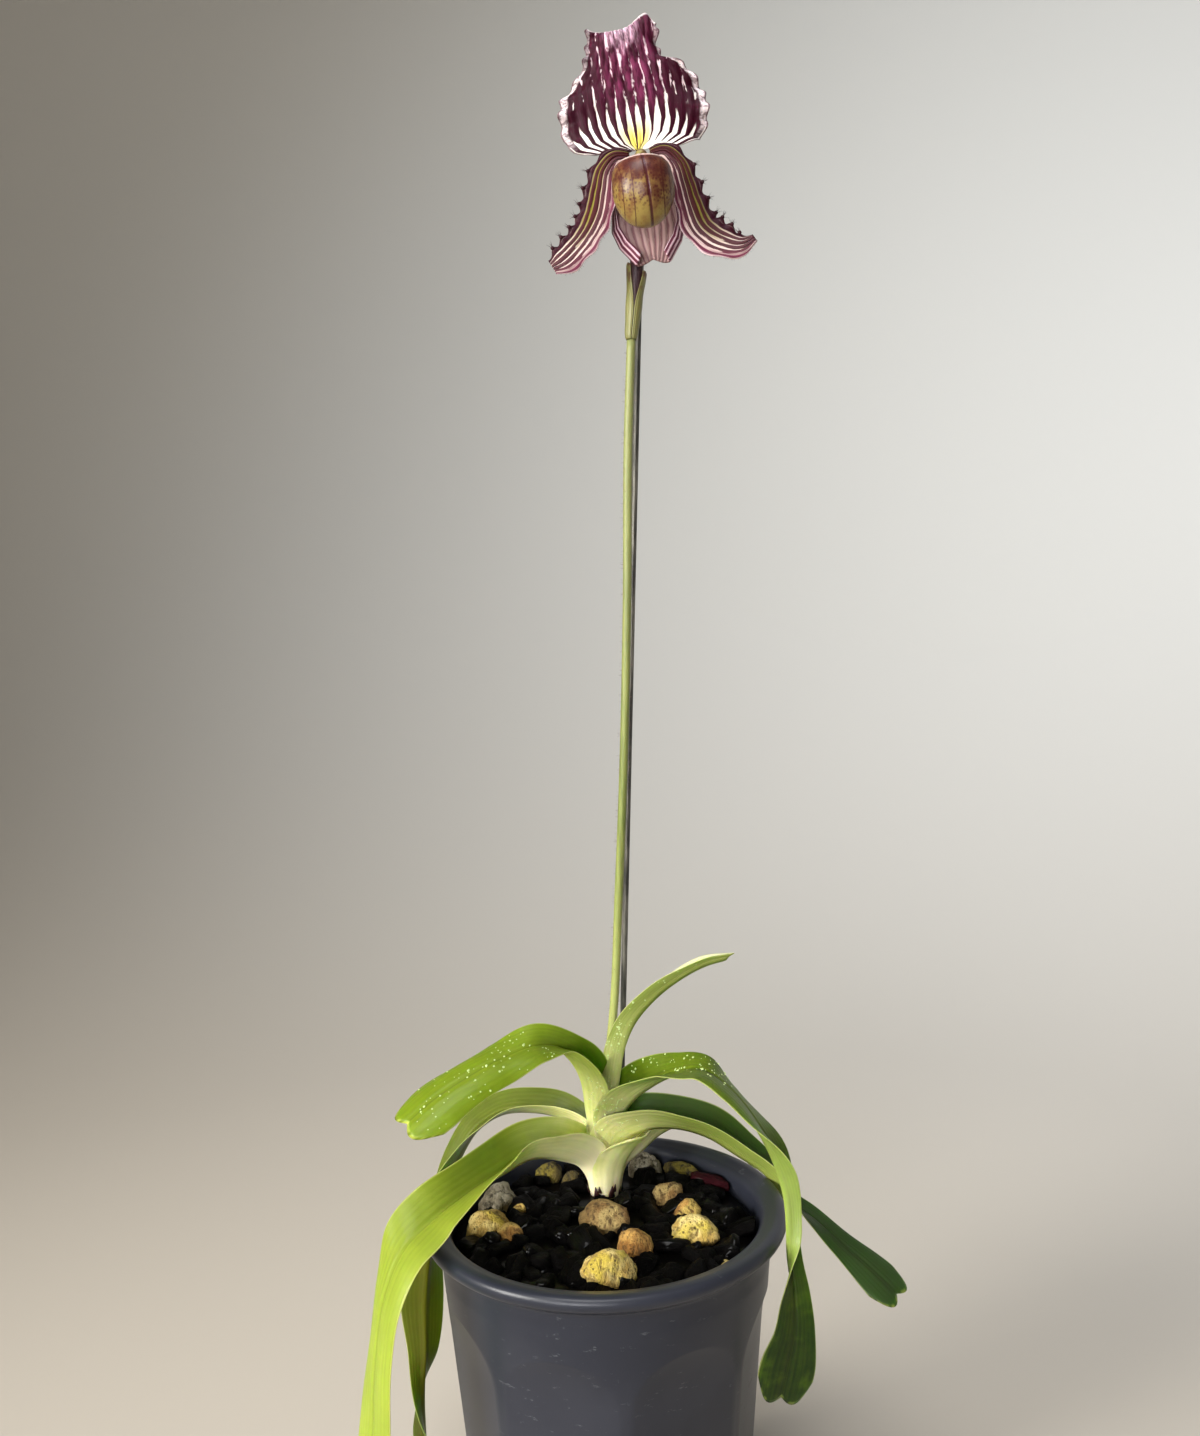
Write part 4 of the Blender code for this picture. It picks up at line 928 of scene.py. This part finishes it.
WART_RADIUS, WART_HAIRS, FRINGE_HAIRS = 0.62, 9, 60
petal_finish = petal_coat()
wart_coat = Coat("wart_finish", "sepal_maroon", 0.4, Base_Color=(0.03, 0.004, 0.008),
                 Specular_IOR_Level=0.2)
tufts = bmesh.new()
fringe = bmesh.new()
draw = np.random.default_rng(12)
for name, spine in PETALS.items():
    shape = petal_shape(spine)
    put(blade(shape, even(0.4), 32, 150), name + "_blade", petal_finish, [name])
    for k in range(2, WARTS):
        spot, out = margin(shape, 0.97, (k + 0.25) / WARTS)
        bmesh.ops.create_icosphere(tufts, subdivisions=2, radius=WART_RADIUS,
                                   matrix=Matrix.Translation(spot))
        for _ in range(WART_HAIRS):
            way = (out + Vector(draw.normal(0, 0.5, 3))).normalized()
            spike(fringe, Vector(spot) + way * 0.5, way, 1.0 + 0.9 * draw.random(), 0.05)
    for at in np.linspace(0.45, 0.97, FRINGE_HAIRS):
        spot, out = margin(shape, -0.99, at + draw.normal() * 0.004)
        way = (out + Vector(draw.normal(0, 0.25, 3))).normalized()
        spike(fringe, spot, way, 0.5 + 0.5 * draw.random(), 0.04)
put(tufts, "petal_warts", wart_coat)
put(fringe, "petal_hairs", wart_coat, smooth_faces=False)

# %% [markdown]
# The pouch is the slipper itself: an egg-shaped cup whose mouth looks up behind its front rim.
# %% Pouch
POUCH_HALF = (8.9, 7.8)
POUCH_DEPTH = 19.6
POUCH_MIDDLE = (-1.0, -3.6, 10.0)
POUCH_WALL = 0.9


def pouch_coat():
    coat = Coat("pouch_finish", "pouch_olive", 0.3, Subsurface_Weight=0.06, Subsurface_Scale=0.002,
                Specular_IOR_Level=0.25, Coat_Weight=0.05, Coat_Roughness=0.25)
    s, t = coat.read("across"), coat.read("along")
    fine = coat.cloud(coat.spot(), 900.0, 4.0, 0.7)
    net = coat.cells(coat.spot(), 1100.0)
    blotch = coat.cloud(coat.spot(), 260.0, 3.0)
    upper = coat.mix(blotch.ramp(0.35, 0.7), (0.13, 0.04, 0.022), (0.06, 0.014, 0.01))
    lower = coat.mix(blotch.ramp(0.35, 0.7), (0.27, 0.19, 0.05), (0.2, 0.1, 0.035))
    freckles = net.ramp(0.2, 0.6, 1.0, 0.0) * fine.ramp(0.3, 0.5) * t.ramp(0.08, 0.35)
    vein = 1 - abs(s - 0.1 + (t - 0.5) * 0.1).ramp(0.02, 0.07)
    sides = 1 - abs(abs(s - 0.1) - 0.5 + fine * 0.05).ramp(0.01, 0.03)
    sides = sides.top(1 - abs(abs(s - 0.06) - 0.78 + fine * 0.05).ramp(0.008, 0.025))
    colour = coat.over(
        lower,
        ((t + s * 0.15 + (blotch - 0.5) * 1.2).ramp(0.1, 0.85), upper),
        (freckles * 0.9, (0.06, 0.01, 0.01)),
        (vein * 0.92, (0.05, 0.006, 0.01)),
        (sides * 0.8, (0.06, 0.01, 0.01)),
        (t.ramp(0.955, 0.985), (0.7, 0.5, 0.45)))
    coat.set(Base_Color=colour, Roughness=fine * 0.2 + 0.2)
    coat.bump(fine - vein * 1.5, 0.0002, 0.5)
    return coat


profile = [(math.cos(a), 0.55 + 0.55 * math.sin(a)) for a in np.radians(np.linspace(-90, 54, 44))]
bm = bmesh.new()
turned(bm, profile, 96)
x, front, level = np.array([vert.co for vert in bm.verts]).T
front = -front
rim = np.clip((level - 0.65) / 0.35, 0, 1) ** 2
u = POUCH_MIDDLE[0] + POUCH_HALF[0] * x * (1 + 0.4 * rim * x ** 2)
v = POUCH_MIDDLE[1] - POUCH_DEPTH * (1 - level)
v -= rim * (1.6 * x ** 2 + 0.4 * np.maximum(-front, 0) + 1.2 * np.maximum(front, 0))
n = POUCH_MIDDLE[2] + POUCH_HALF[1] * front
label(bm, across=np.where(front > 0, x, np.sign(x) * 1.0), along=level / 0.995)
for vert, spot in zip(bm.verts, flower_points(u, v, n)):
    vert.co = spot
bmesh.ops.recalc_face_normals(bm, faces=bm.faces)
pouch = put(bm, "pouch_cup", pouch_coat(), ["pouch"])
wall = pouch.modifiers.new("Wall", "SOLIDIFY")
wall.thickness = POUCH_WALL * MM
wall.offset = -1

# %% [markdown]
# The column ends in a small shield that closes the flower's middle.
# %% Column
column_coat = Coat("column_finish", "pouch_olive", 0.35)
fine = column_coat.cloud(column_coat.spot(), 800.0, 4.0)
colour = column_coat.mix(fine.ramp(0.35, 0.7), (0.24, 0.2, 0.05), (0.12, 0.04, 0.03))
column_coat.set(Base_Color=colour)
column_coat.bump(fine, 0.0003, 0.6)
at = np.array([-3.1, 1.0, 2.6, 3.6, 5.0, 5.6])
rise = np.array([-0.2, -0.3, -0.7, -1.0, -1.3, -1.5])
path = flower_points(np.zeros(6), rise, at)
put(tube(path, (2.0, 1.8, 1.5, 1.6, 1.6, 0.9), 28, 30), "column_shield", column_coat, ["staminode"])

# %% [markdown]
# ## The pot
# A tapered plastic pot with a rolled rim. Its side is flattened into arched panels: each is deepest
# along its middle and runs out to nothing at its outline, which leaves a crease instead of a step.
# %% Pot shape
RIM_RADIUS, BODY_RADIUS, FOOT_RADIUS, MOUTH_RADIUS = 55.0, 49.6, 40.0, 47.0
POT_WALL, POT_FLOOR, SHOULDER = 2.6, 3.0, 104.0
PANELS, PANEL_AZIMUTH, PANEL_HALF_ANGLE, PANEL_DEPTH = 8, 27.75, 20.5, 2.0
PANEL_TOP_DROP, PANEL_ARCH, PANEL_FOOT, PANEL_RAMP = 21.5, 17.0, 9.0, 6.0


def body_radius(height):
    return FOOT_RADIUS + (BODY_RADIUS - FOOT_RADIUS) * np.minimum(height / SHOULDER, 1.0)


lip = cubic_profile((
    (BODY_RADIUS, SHOULDER), (49.75, 108.5), (50.2, 111.2), (52.4, 112.7), (54.6, 114.4),
    (RIM_RADIUS, 116.0), (54.2, 117.6), (52.4, POT_HEIGHT), (50.0, 117.4), (47.9, 116.6),
    (MOUTH_RADIUS, 115.2), (46.7, 113.0)), 44)
rows = np.concatenate((np.linspace(0.9, 8.4, 4), np.linspace(9, 15, 13), np.linspace(18, 78, 12),
                       np.linspace(79, 97, 60), np.linspace(99, 103, 3)))
profile = [(FOOT_RADIUS - 0.9, 0), (FOOT_RADIUS - 0.25, 0.25)] + [(body_radius(h), h) for h in rows]
profile += [tuple(point) for point in lip]
profile += [(body_radius(h) - POT_WALL, h) for h in (100, 70, 40, POT_FLOOR + 1)]
profile += [(body_radius(POT_FLOOR) - POT_WALL - 1, POT_FLOOR), (0, POT_FLOOR)]
half_angles = np.concatenate((np.linspace(1.2, PANEL_HALF_ANGLE, 16), [PANEL_HALF_ANGLE + 1.2]))
angles = np.concatenate((-half_angles[::-1], [0.0], half_angles, [360 / PANELS / 2]))
columns = len(angles)


def panel_half_angle(height):
    """How wide a panel is at a height: an arch closes it at its top and a ramp at its foot."""
    above = (height - (POT_HEIGHT - PANEL_TOP_DROP - PANEL_ARCH)) / PANEL_ARCH
    below = (PANEL_FOOT + PANEL_RAMP - height) / PANEL_RAMP
    share = min(max(above, below, 0.0), 1.0)
    return PANEL_HALF_ANGLE * math.sqrt(1 - share ** 2.4)


bm = bmesh.new()
turned(bm, profile, PANELS * columns)
for vert in bm.verts:
    radius = math.hypot(vert.co.x, vert.co.y)
    if radius < 1e-6:
        continue
    column = round(math.atan2(vert.co.y, vert.co.x) / math.tau * PANELS * columns)
    panel, k = divmod(column % (PANELS * columns), columns)
    off, height = angles[k], vert.co.z
    if height < SHOULDER and radius > body_radius(height) - 0.5:
        wide = panel_half_angle(height)
        radius -= PANEL_DEPTH * max(0.0, wide ** 2 - off ** 2) / PANEL_HALF_ANGLE ** 2
    azimuth = math.radians(PANEL_AZIMUTH - 90 + panel * 360 / PANELS + off)
    vert.co = (radius * math.cos(azimuth), radius * math.sin(azimuth), height)
hem = [edge for edge in bm.edges if edge.is_boundary]
bmesh.ops.contextual_create(bm, geom=hem)
bmesh.ops.recalc_face_normals(bm, faces=bm.faces)

# %% [markdown]
# The plastic is dark slate with a satin skin: fine grain, faint scuffs and dried water marks.
# %% Pot finish
pot_coat = Coat("pot_finish", "pot_plastic", 0.4, Specular_IOR_Level=0.35)
spot = pot_coat.spot()
grain = pot_coat.cloud(spot, 2600.0, 2.0)
cloudy = pot_coat.cloud(spot, 26.0, 4.0, 0.6)
scuffs = pot_coat.cloud(pot_coat.stretch(spot, (1, 1, 3.0)), 160.0, 5.0, 0.75).ramp(0.62, 0.72)
marks = pot_coat.cells(spot, 240.0).ramp(0.0, 0.12, 1.0, 0.0)
marks = marks * pot_coat.cloud(spot, 60.0).ramp(0.55, 0.7)
pot_coat.set(
    Base_Color=pot_coat.over((0.016, 0.018, 0.027), (cloudy.ramp(0.35, 0.7), (0.023, 0.025, 0.035)),
                             ((scuffs * 0.4).top(marks * 0.35), (0.16, 0.17, 0.18))),
    Roughness=cloudy * 0.14 + grain * 0.06 + scuffs * 0.15 + 0.26)
pot_coat.bump(grain * 0.35 + scuffs, 0.00008, 0.6)

# %% Drain holes
pot = put(bm, "pot_shell", pot_coat, ["pot"])
DRAINS, DRAIN_RADIUS, DRAIN_CIRCLE, SHARP_ANGLE = 6, 3.2, 24.0, 40
bm = bmesh.new()
for k in range(DRAINS):
    turn = math.tau * k / DRAINS
    x, y = DRAIN_CIRCLE * MM * math.cos(turn), DRAIN_CIRCLE * MM * math.sin(turn)
    middle = Matrix.Translation((x, y, POT_FLOOR / 2 * MM))
    cone(bm, 28, [DRAIN_RADIUS * MM] * 2, POT_FLOOR * 3 * MM, middle)
drill_mesh = bpy.data.meshes.new("drill")
bm.to_mesh(drill_mesh)
bm.free()
drill = add_object("drill", drill_mesh)
holes = pot.modifiers.new("Holes", "BOOLEAN")
holes.object, holes.solver = drill, "EXACT"
reader = bpy.context.evaluated_depsgraph_get()
drilled = bpy.data.meshes.new_from_object(pot.evaluated_get(reader))
pot.modifiers.clear()
pot.data = drilled
pot.data.set_sharp_from_angle(angle=math.radians(SHARP_ANGLE))
bpy.data.objects.remove(drill)
print("pot drilled:", len(pot.data.polygons), "faces")

# %% [markdown]
# ## Bark and stones
# Wet bark is nearly black, with small wet glints. The bed is a disc with chunks half sunk in it:
# balls pressed towards boxes and roughened along their grain, which the finish follows too. One
# chip near the rim is red brown.
# %% Bark finish
bark_coat = Coat("bark_finish", "wet_bark", 0.35, Specular_IOR_Level=0.05, Coat_Roughness=0.08)
spot = bark_coat.spot()
local = bark_coat.join(*[bark_coat.read(f"grain_{axis}") for axis in "xyz"])
grain = bark_coat.cloud(bark_coat.stretch(local, (0.25, 1, 1)), 1.6, 5.0, 0.7)
colour = bark_coat.over(
    (0.0006, 0.0005, 0.0005),
    (grain.ramp(0.35, 0.75), (0.003, 0.0022, 0.002)),
    (bark_coat.read("red") * grain.ramp(0.3, 0.5), (0.035, 0.005, 0.008)))
wet = bark_coat.cloud(spot, 120.0, 2.0).ramp(0.54, 0.62)
bark_coat.set(Base_Color=colour, Roughness=grain * 0.5 + 0.2, Coat_Weight=wet * 0.22)
bark_coat.bump(grain, 0.0009, 1.0)

# %% [markdown]
# The chips shrink where they meet a stone or the neck. Each stone's row gives its place, its height
# above the bark, its three half sizes, its turn in degrees and its colour.
# %% Bark bed
STONES = (
    (1.1, -30.6, 1.6, 7.2, 5.4, 5.6, 20, "cream"),
    (8.4, -18.2, 1.6, 5.0, 5.0, 5.6, 60, "orange"),
    (0.2, 0.5, 1.4, 7.6, 6.0, 5.4, -15, "tan"),
    (20.0, 17.2, 1.2, 5.0, 4.0, 3.8, 10, "tan"),
    (25.4, 7.2, -0.4, 4.2, 4.0, 3.8, 40, "orange"),
    (26.6, -8.6, 0.6, 7.2, 5.2, 4.8, -10, "cream"),
    (-36.6, 0.4, 0.2, 6.2, 5.4, 5.0, 15, "cream"),
    (-28.4, -5.4, -0.2, 4.0, 4.0, 3.8, 0, "orange"),
    (-26.6, 13.0, -1.0, 2.8, 2.6, 2.8, 0, "orange"),
    (-34.0, 17.6, 0.2, 4.8, 8.6, 4.8, -20, "grey"),
    (-18.4, 37.4, -0.2, 4.4, 4.0, 4.4, 0, "olive"),
    (-10.6, 33.6, -1.2, 3.4, 3.2, 3.4, 0, "olive"),
    (13.4, 38.6, 0.6, 5.6, 4.2, 5.2, 0, "grey"),
    (25.4, 34.4, 0.4, 6.4, 2.8, 3.4, -36, "olive"),
    (34.0, -24.6, -1.6, 2.4, 2.2, 2.2, 0, "cream"),
)
CHIPS, CHIP_REACH, BED_EDGE, CHIP_SQUARENESS = 190, 43.0, 45.4, 0.55
CROWN_CLEAR, SMALL_CHIP, CHIP_TILT = 8.5, 0.6, 0.4
GRAIN_LABELS = ("grain_x", "grain_y", "grain_z", "red")
RED_CHIP_AT, RED_CHIP_SIZE, RED_CHIP_TURN = (34.6, 26.6, 112.4), (7.6, 3.0, 2.2), math.radians(-30)
draw = np.random.default_rng(7)
low, soil = POT_FLOOR + 0.3, SOIL - 1.2


def bed_radius(height):
    share = (height - POT_FLOOR) / (POT_HEIGHT - 4.0 - POT_FLOOR)
    foot = body_radius(POT_FLOOR) - POT_WALL
    return foot + (MOUTH_RADIUS - 0.3 - foot) * share - 0.6


def chunk(bm, spot, size, turn, red=0.0):
    """A rounded block: a ball pressed towards a box, then pushed about along its grain."""
    made = bmesh.ops.create_icosphere(bm, subdivisions=3, radius=1)["verts"]
    layers = [bm.verts.layers.float[name] for name in GRAIN_LABELS]
    seed = Vector(spot)
    for vert in made:
        pressed = Vector([math.copysign(abs(c) ** CHIP_SQUARENESS, c) for c in vert.co])
        place = Vector((pressed.x * size[0], pressed.y * size[1], pressed.z * size[2]))
        fibre = Vector((place.x * 0.12, place.y * 0.7, place.z * 0.7))
        swell = 1.1 * noise.noise(place * 0.3 + seed) + 0.5 * noise.noise(fibre * 1.8 + seed)
        place += vert.co * swell
        for layer, value in zip(layers, (*(place + seed * 3), red)):
            vert[layer] = value
        vert.co = Vector(spot) + turn @ place


bm = bmesh.new()
for name in GRAIN_LABELS:
    bm.verts.layers.float.new(name)
turned(bm, [(0, low), (bed_radius(low), low), (bed_radius(soil), soil),
            *[(bed_radius(soil) * (1 - k / 12), soil) for k in range(1, 13)]], 72)
for k in range(CHIPS):
    reach, turn = CHIP_REACH * math.sqrt(draw.random()), draw.random() * math.tau
    x, y = reach * math.cos(turn), reach * math.sin(turn)
    size = Vector((3.2 + 3.4 * draw.random(), 2.0 + 2.0 * draw.random(), 1.6 + 1.6 * draw.random()))
    near_stone = any(math.hypot(x - row[0], y - row[1]) < row[3] for row in STONES)
    if near_stone or math.hypot(x - CROWN[0], y - CROWN[1]) < CROWN_CLEAR:
        size *= SMALL_CHIP
    turn = Matrix.Rotation(draw.random() * math.tau, 3, "Z")
    for axis in "YX":
        turn = turn @ Matrix.Rotation(draw.normal() * CHIP_TILT, 3, axis)
    chunk(bm, (x, y, SOIL - 1.9 + 1.6 * draw.random()), size, turn)
chunk(bm, RED_CHIP_AT, RED_CHIP_SIZE, Matrix.Rotation(RED_CHIP_TURN, 3, "Z"), 1.0)
for vert in bm.verts:
    reach = math.hypot(vert.co.x, vert.co.y)
    if reach > BED_EDGE:
        vert.co.x *= BED_EDGE / reach
        vert.co.y *= BED_EDGE / reach
put(bm, "bark_chips", bark_coat, ["bark_bed"])

# %% [markdown]
# The stones are pumice: matt and pitted, in cream, tan, orange, grey and olive. The olive is partly
# painted shade, for the stones that lie in shade at the back. Each follows its solid and gains blunt
# facets, lumps and wrinkles, and its wrinkles and pits are darkened with painted shade.
# %% Stones
STONE_COLOURS = {
    "cream": ((0.86, 0.67, 0.24), (0.56, 0.36, 0.08), (0.7, 0.53, 0.06)),
    "orange": ((0.6, 0.34, 0.08), (0.34, 0.15, 0.025), (0.72, 0.52, 0.13)),
    "tan": ((0.42, 0.27, 0.09), (0.25, 0.13, 0.035), (0.52, 0.38, 0.14)),
    "grey": ((0.32, 0.28, 0.19), (0.15, 0.12, 0.07), (0.45, 0.4, 0.3)),
    # The olive tone is partly painted shade: both of its colours are darkened for the stones that
    # lie in shade at the back, under the leaves.
    "olive": ((0.12, 0.085, 0.015), (0.035, 0.024, 0.005), (0.22, 0.17, 0.015))}


def stone_coat(tone):
    light, dark, patch = STONE_COLOURS[tone]
    coat = Coat(tone + "_stone_finish", tone + "_pumice", 0.85)
    spot = coat.spot()
    broad = coat.cloud(spot, 150.0, 4.0, 0.6)
    wrinkle = coat.cloud(coat.stretch(spot, (1, 1, 0.45)), 520.0, 5.0, 0.65)
    pits = coat.cells(spot, 700.0).ramp(0.12, 0.34)
    hole = (1 - pits) * coat.cloud(spot, 420.0).ramp(0.5, 0.62)
    grit = coat.cloud(spot, 2200.0, 3.0, 0.7)
    coat.set(Base_Color=coat.over(
        light,
        (broad.ramp(0.42, 0.6), dark),
        (coat.cloud(spot, 105.0, 2.0).ramp(0.52, 0.62) * 0.85, patch),
        # Painted shade: the wrinkles and holes are darkened where their hollows would lie in shadow.
        (wrinkle.ramp(0.36, 0.5, 0.95, 0.0), times(dark, 0.4)),
        (hole * 0.85, times(dark, 0.22)),
        (grit.ramp(0.5, 0.8) * 0.4, times(light, 1.25))))
    coat.bump(wrinkle * 2.4 + grit * 0.5 - hole, 0.0013, 1.0)
    return coat


STONE_FACETS, FACET_SHARPNESS, STONE_SWELL = 16, 14, 0.1


def stone_bulge(k, way, facets):
    """How far stone k reaches along a direction: blunt facets, lumps and wrinkles."""
    cuts = [1.06, *[depth / way.dot(facet) for facet, depth in facets if way.dot(facet) > 0.3]]
    flat = -math.log(sum(math.exp(-FACET_SHARPNESS * cut) for cut in cuts)) / FACET_SHARPNESS
    lumps = 0.16 * noise.noise(way * 1.4 + Vector((k * 7.3, 0, 0)))
    lumps += 0.07 * noise.noise(way * 3.5 + Vector((k, 0, 0))) + 0.04 * noise.noise(way * 10)
    wrinkles = 0.07 * abs(noise.noise(way * 5 + Vector((0, k, 0))))
    wrinkles += 0.035 * abs(noise.noise(way * 13 + Vector((0, 0, k))))
    return STONE_SWELL + flat + lumps - wrinkles


stone_coats = {tone: stone_coat(tone) for tone in STONE_COLOURS}
for k, (x, y, above, half_x, half_y, half_z, turn, tone) in enumerate(STONES):
    bm = bmesh.new()
    bmesh.ops.create_icosphere(bm, subdivisions=4, radius=1)
    facets = [(Vector(way).normalized(), 0.84 + 0.14 * draw.random())
              for way in draw.normal(size=(STONE_FACETS, 3))]
    for vert in bm.verts:
        bulge = stone_bulge(k, vert.co, facets)
        vert.co = Vector((vert.co.x * half_x, vert.co.y * half_y, vert.co.z * half_z)) * bulge
    spot = Matrix.Translation((x, y, SOIL + above)) @ Matrix.Rotation(math.radians(turn), 4, "Z")
    bmesh.ops.transform(bm, matrix=spot, verts=bm.verts)
    put(bm, f"pumice_{k + 1:02d}", stone_coats[tone], [f"stone_{k + 1:02d}"])

# %% [markdown]
# ## Dew
# Fine drops stand on the youngest leaves. Each row names a leaf, the range across it, the range
# along it, the face and the number of drops. A drop is a flattened ball, clear enough to show the
# leaf below it, and it glows faintly with painted light.
# %% Drops
DROP_FLATNESS = 0.42
DEW = (("leaf_1", 0.1, 0.95, 0.3, 0.62, -1, 60), ("leaf_2", -0.95, -0.1, 0.12, 0.4, -1, 70),
       ("leaf_2", -0.9, 0.9, 0.6, 0.97, 1, 90), ("leaf_5", 0.1, 0.95, 0.1, 0.24, -1, 90),
       ("leaf_5", -0.95, 0.4, 0.22, 0.48, 1, 100), ("leaf_6", 0.05, 0.95, 0.06, 0.24, -1, 80),
       ("leaf_3", -0.95, -0.2, 0.06, 0.14, -1, 30), ("leaf_1", -0.9, 0.9, 0.55, 0.95, -1, 20))
# Painted light: the drops glow a little, standing in for the light that real water gathers and
# passes on.
glowing_water_coat = Coat("glowing_water_finish", "leaf_green", 0.16, Base_Color=(0.66, 0.82, 0.34), IOR=1.33,
                  Alpha=0.42, Emission_Color=(0.75, 0.85, 0.45), Emission_Strength=0.3)
draw = np.random.default_rng(21)
flat = Matrix.Diagonal((1, 1, DROP_FLATNESS, 1))
bm = bmesh.new()
for name, s_low, s_high, t_low, t_high, side, count in DEW:
    shape = leaf_shape(name)
    s = s_low + (s_high - s_low) * draw.random(count)
    t = t_low + (t_high - t_low) * draw.random(count)
    radii = 0.15 + 0.28 * draw.random(count) ** 3
    places = shape(s, t)
    ways = face_normals(shape, s, t) * side
    places = places + ways * leaf_half(s, t)[:, None]
    for spot, way, radius in zip(places, ways, radii):
        bmesh.ops.create_icosphere(bm, subdivisions=2, radius=radius,
                                   matrix=stand(spot, way) @ flat)
put(bm, "dew_drops", glowing_water_coat)

# %% [markdown]
# ## Studio
# The floor rises into a wall all round, in one smooth bowl, so every view has a plain background.
# %% Floor
FLAT, BEND, WALL_TOP, FLOOR_COLOUR = 0.5, 1.2, 2.6, (0.55, 0.5, 0.43, 1)
floor_material = bpy.data.materials.new("floor_finish")
floor_material.use_nodes = True
floor_shader = floor_material.node_tree.nodes["Principled BSDF"]
floor_shader.inputs["Base Color"].default_value = FLOOR_COLOUR
floor_shader.inputs["Roughness"].default_value = 0.9
bm = bmesh.new()
arc = [(FLAT + BEND * math.sin(a), BEND - BEND * math.cos(a))
       for a in np.linspace(0, math.pi / 2, 24)]
turned(bm, [(0, 0), *arc, (FLAT + BEND, WALL_TOP)], 96)
bmesh.ops.reverse_faces(bm, faces=bm.faces)
floor_mesh = bpy.data.meshes.new("floor")
bm.to_mesh(floor_mesh)
bm.free()
floor_mesh.shade_smooth()
floor_mesh.materials.append(floor_material)
floor = add_object("floor", floor_mesh)

# %% [markdown]
# A large soft light at the left gives the shading, and two weak ones fill in from above and from
# the front. Two cool ones, high up, brighten the wall behind and at the right. Each row gives the
# place, the target, the size, the power, the colour and the spread in degrees.
# %% Lights
LIGHTS = {
    "key": ((-1.1, -0.7, 0.55), (0, 0, 0.2), 0.5, 6.0, (1.0, 0.98, 0.93), 80),
    "overhead": ((-0.2, -0.5, 1.15), (0, 0, 0.12), 0.6, 1.1, (1.0, 0.99, 0.97), 60),
    "fill": ((-0.35, -1.12, 0.27), (0, 0, 0.15), 0.6, 2.4, (0.97, 0.98, 1.0), 60),
    "wall_right": ((0.2, -0.3, 1.6), (1.15, 1.25, 0.4), 0.6, 11.5, (0.68, 0.81, 1.0), 100),
    "wall_high": ((0.5, 0.3, 1.5), (0.25, 1.7, 0.8), 0.6, 5.0, (0.82, 0.91, 1.0), 120),
}
ROOM_COLOUR, ROOM_STRENGTH = (0.9, 0.87, 0.82, 1), 0.22
for name, (spot, target, size, power, colour, spread) in LIGHTS.items():
    light = bpy.data.lights.new(name, "AREA")
    light.size, light.energy, light.color, light.spread = size, power, colour, math.radians(spread)
    thing = add_object(name, light)
    thing.location = spot
    thing.rotation_euler = (Vector(target) - Vector(spot)).to_track_quat("-Z", "Y").to_euler()
    thing.visible_camera = False
world = bpy.data.worlds.new("room")
world.use_nodes = True
room = world.node_tree.nodes["Background"].inputs
room["Color"].default_value, room["Strength"].default_value = ROOM_COLOUR, ROOM_STRENGTH
bpy.context.scene.world = world
bpy.context.scene.view_settings.view_transform = "Standard"
print("lights:", list(LIGHTS))
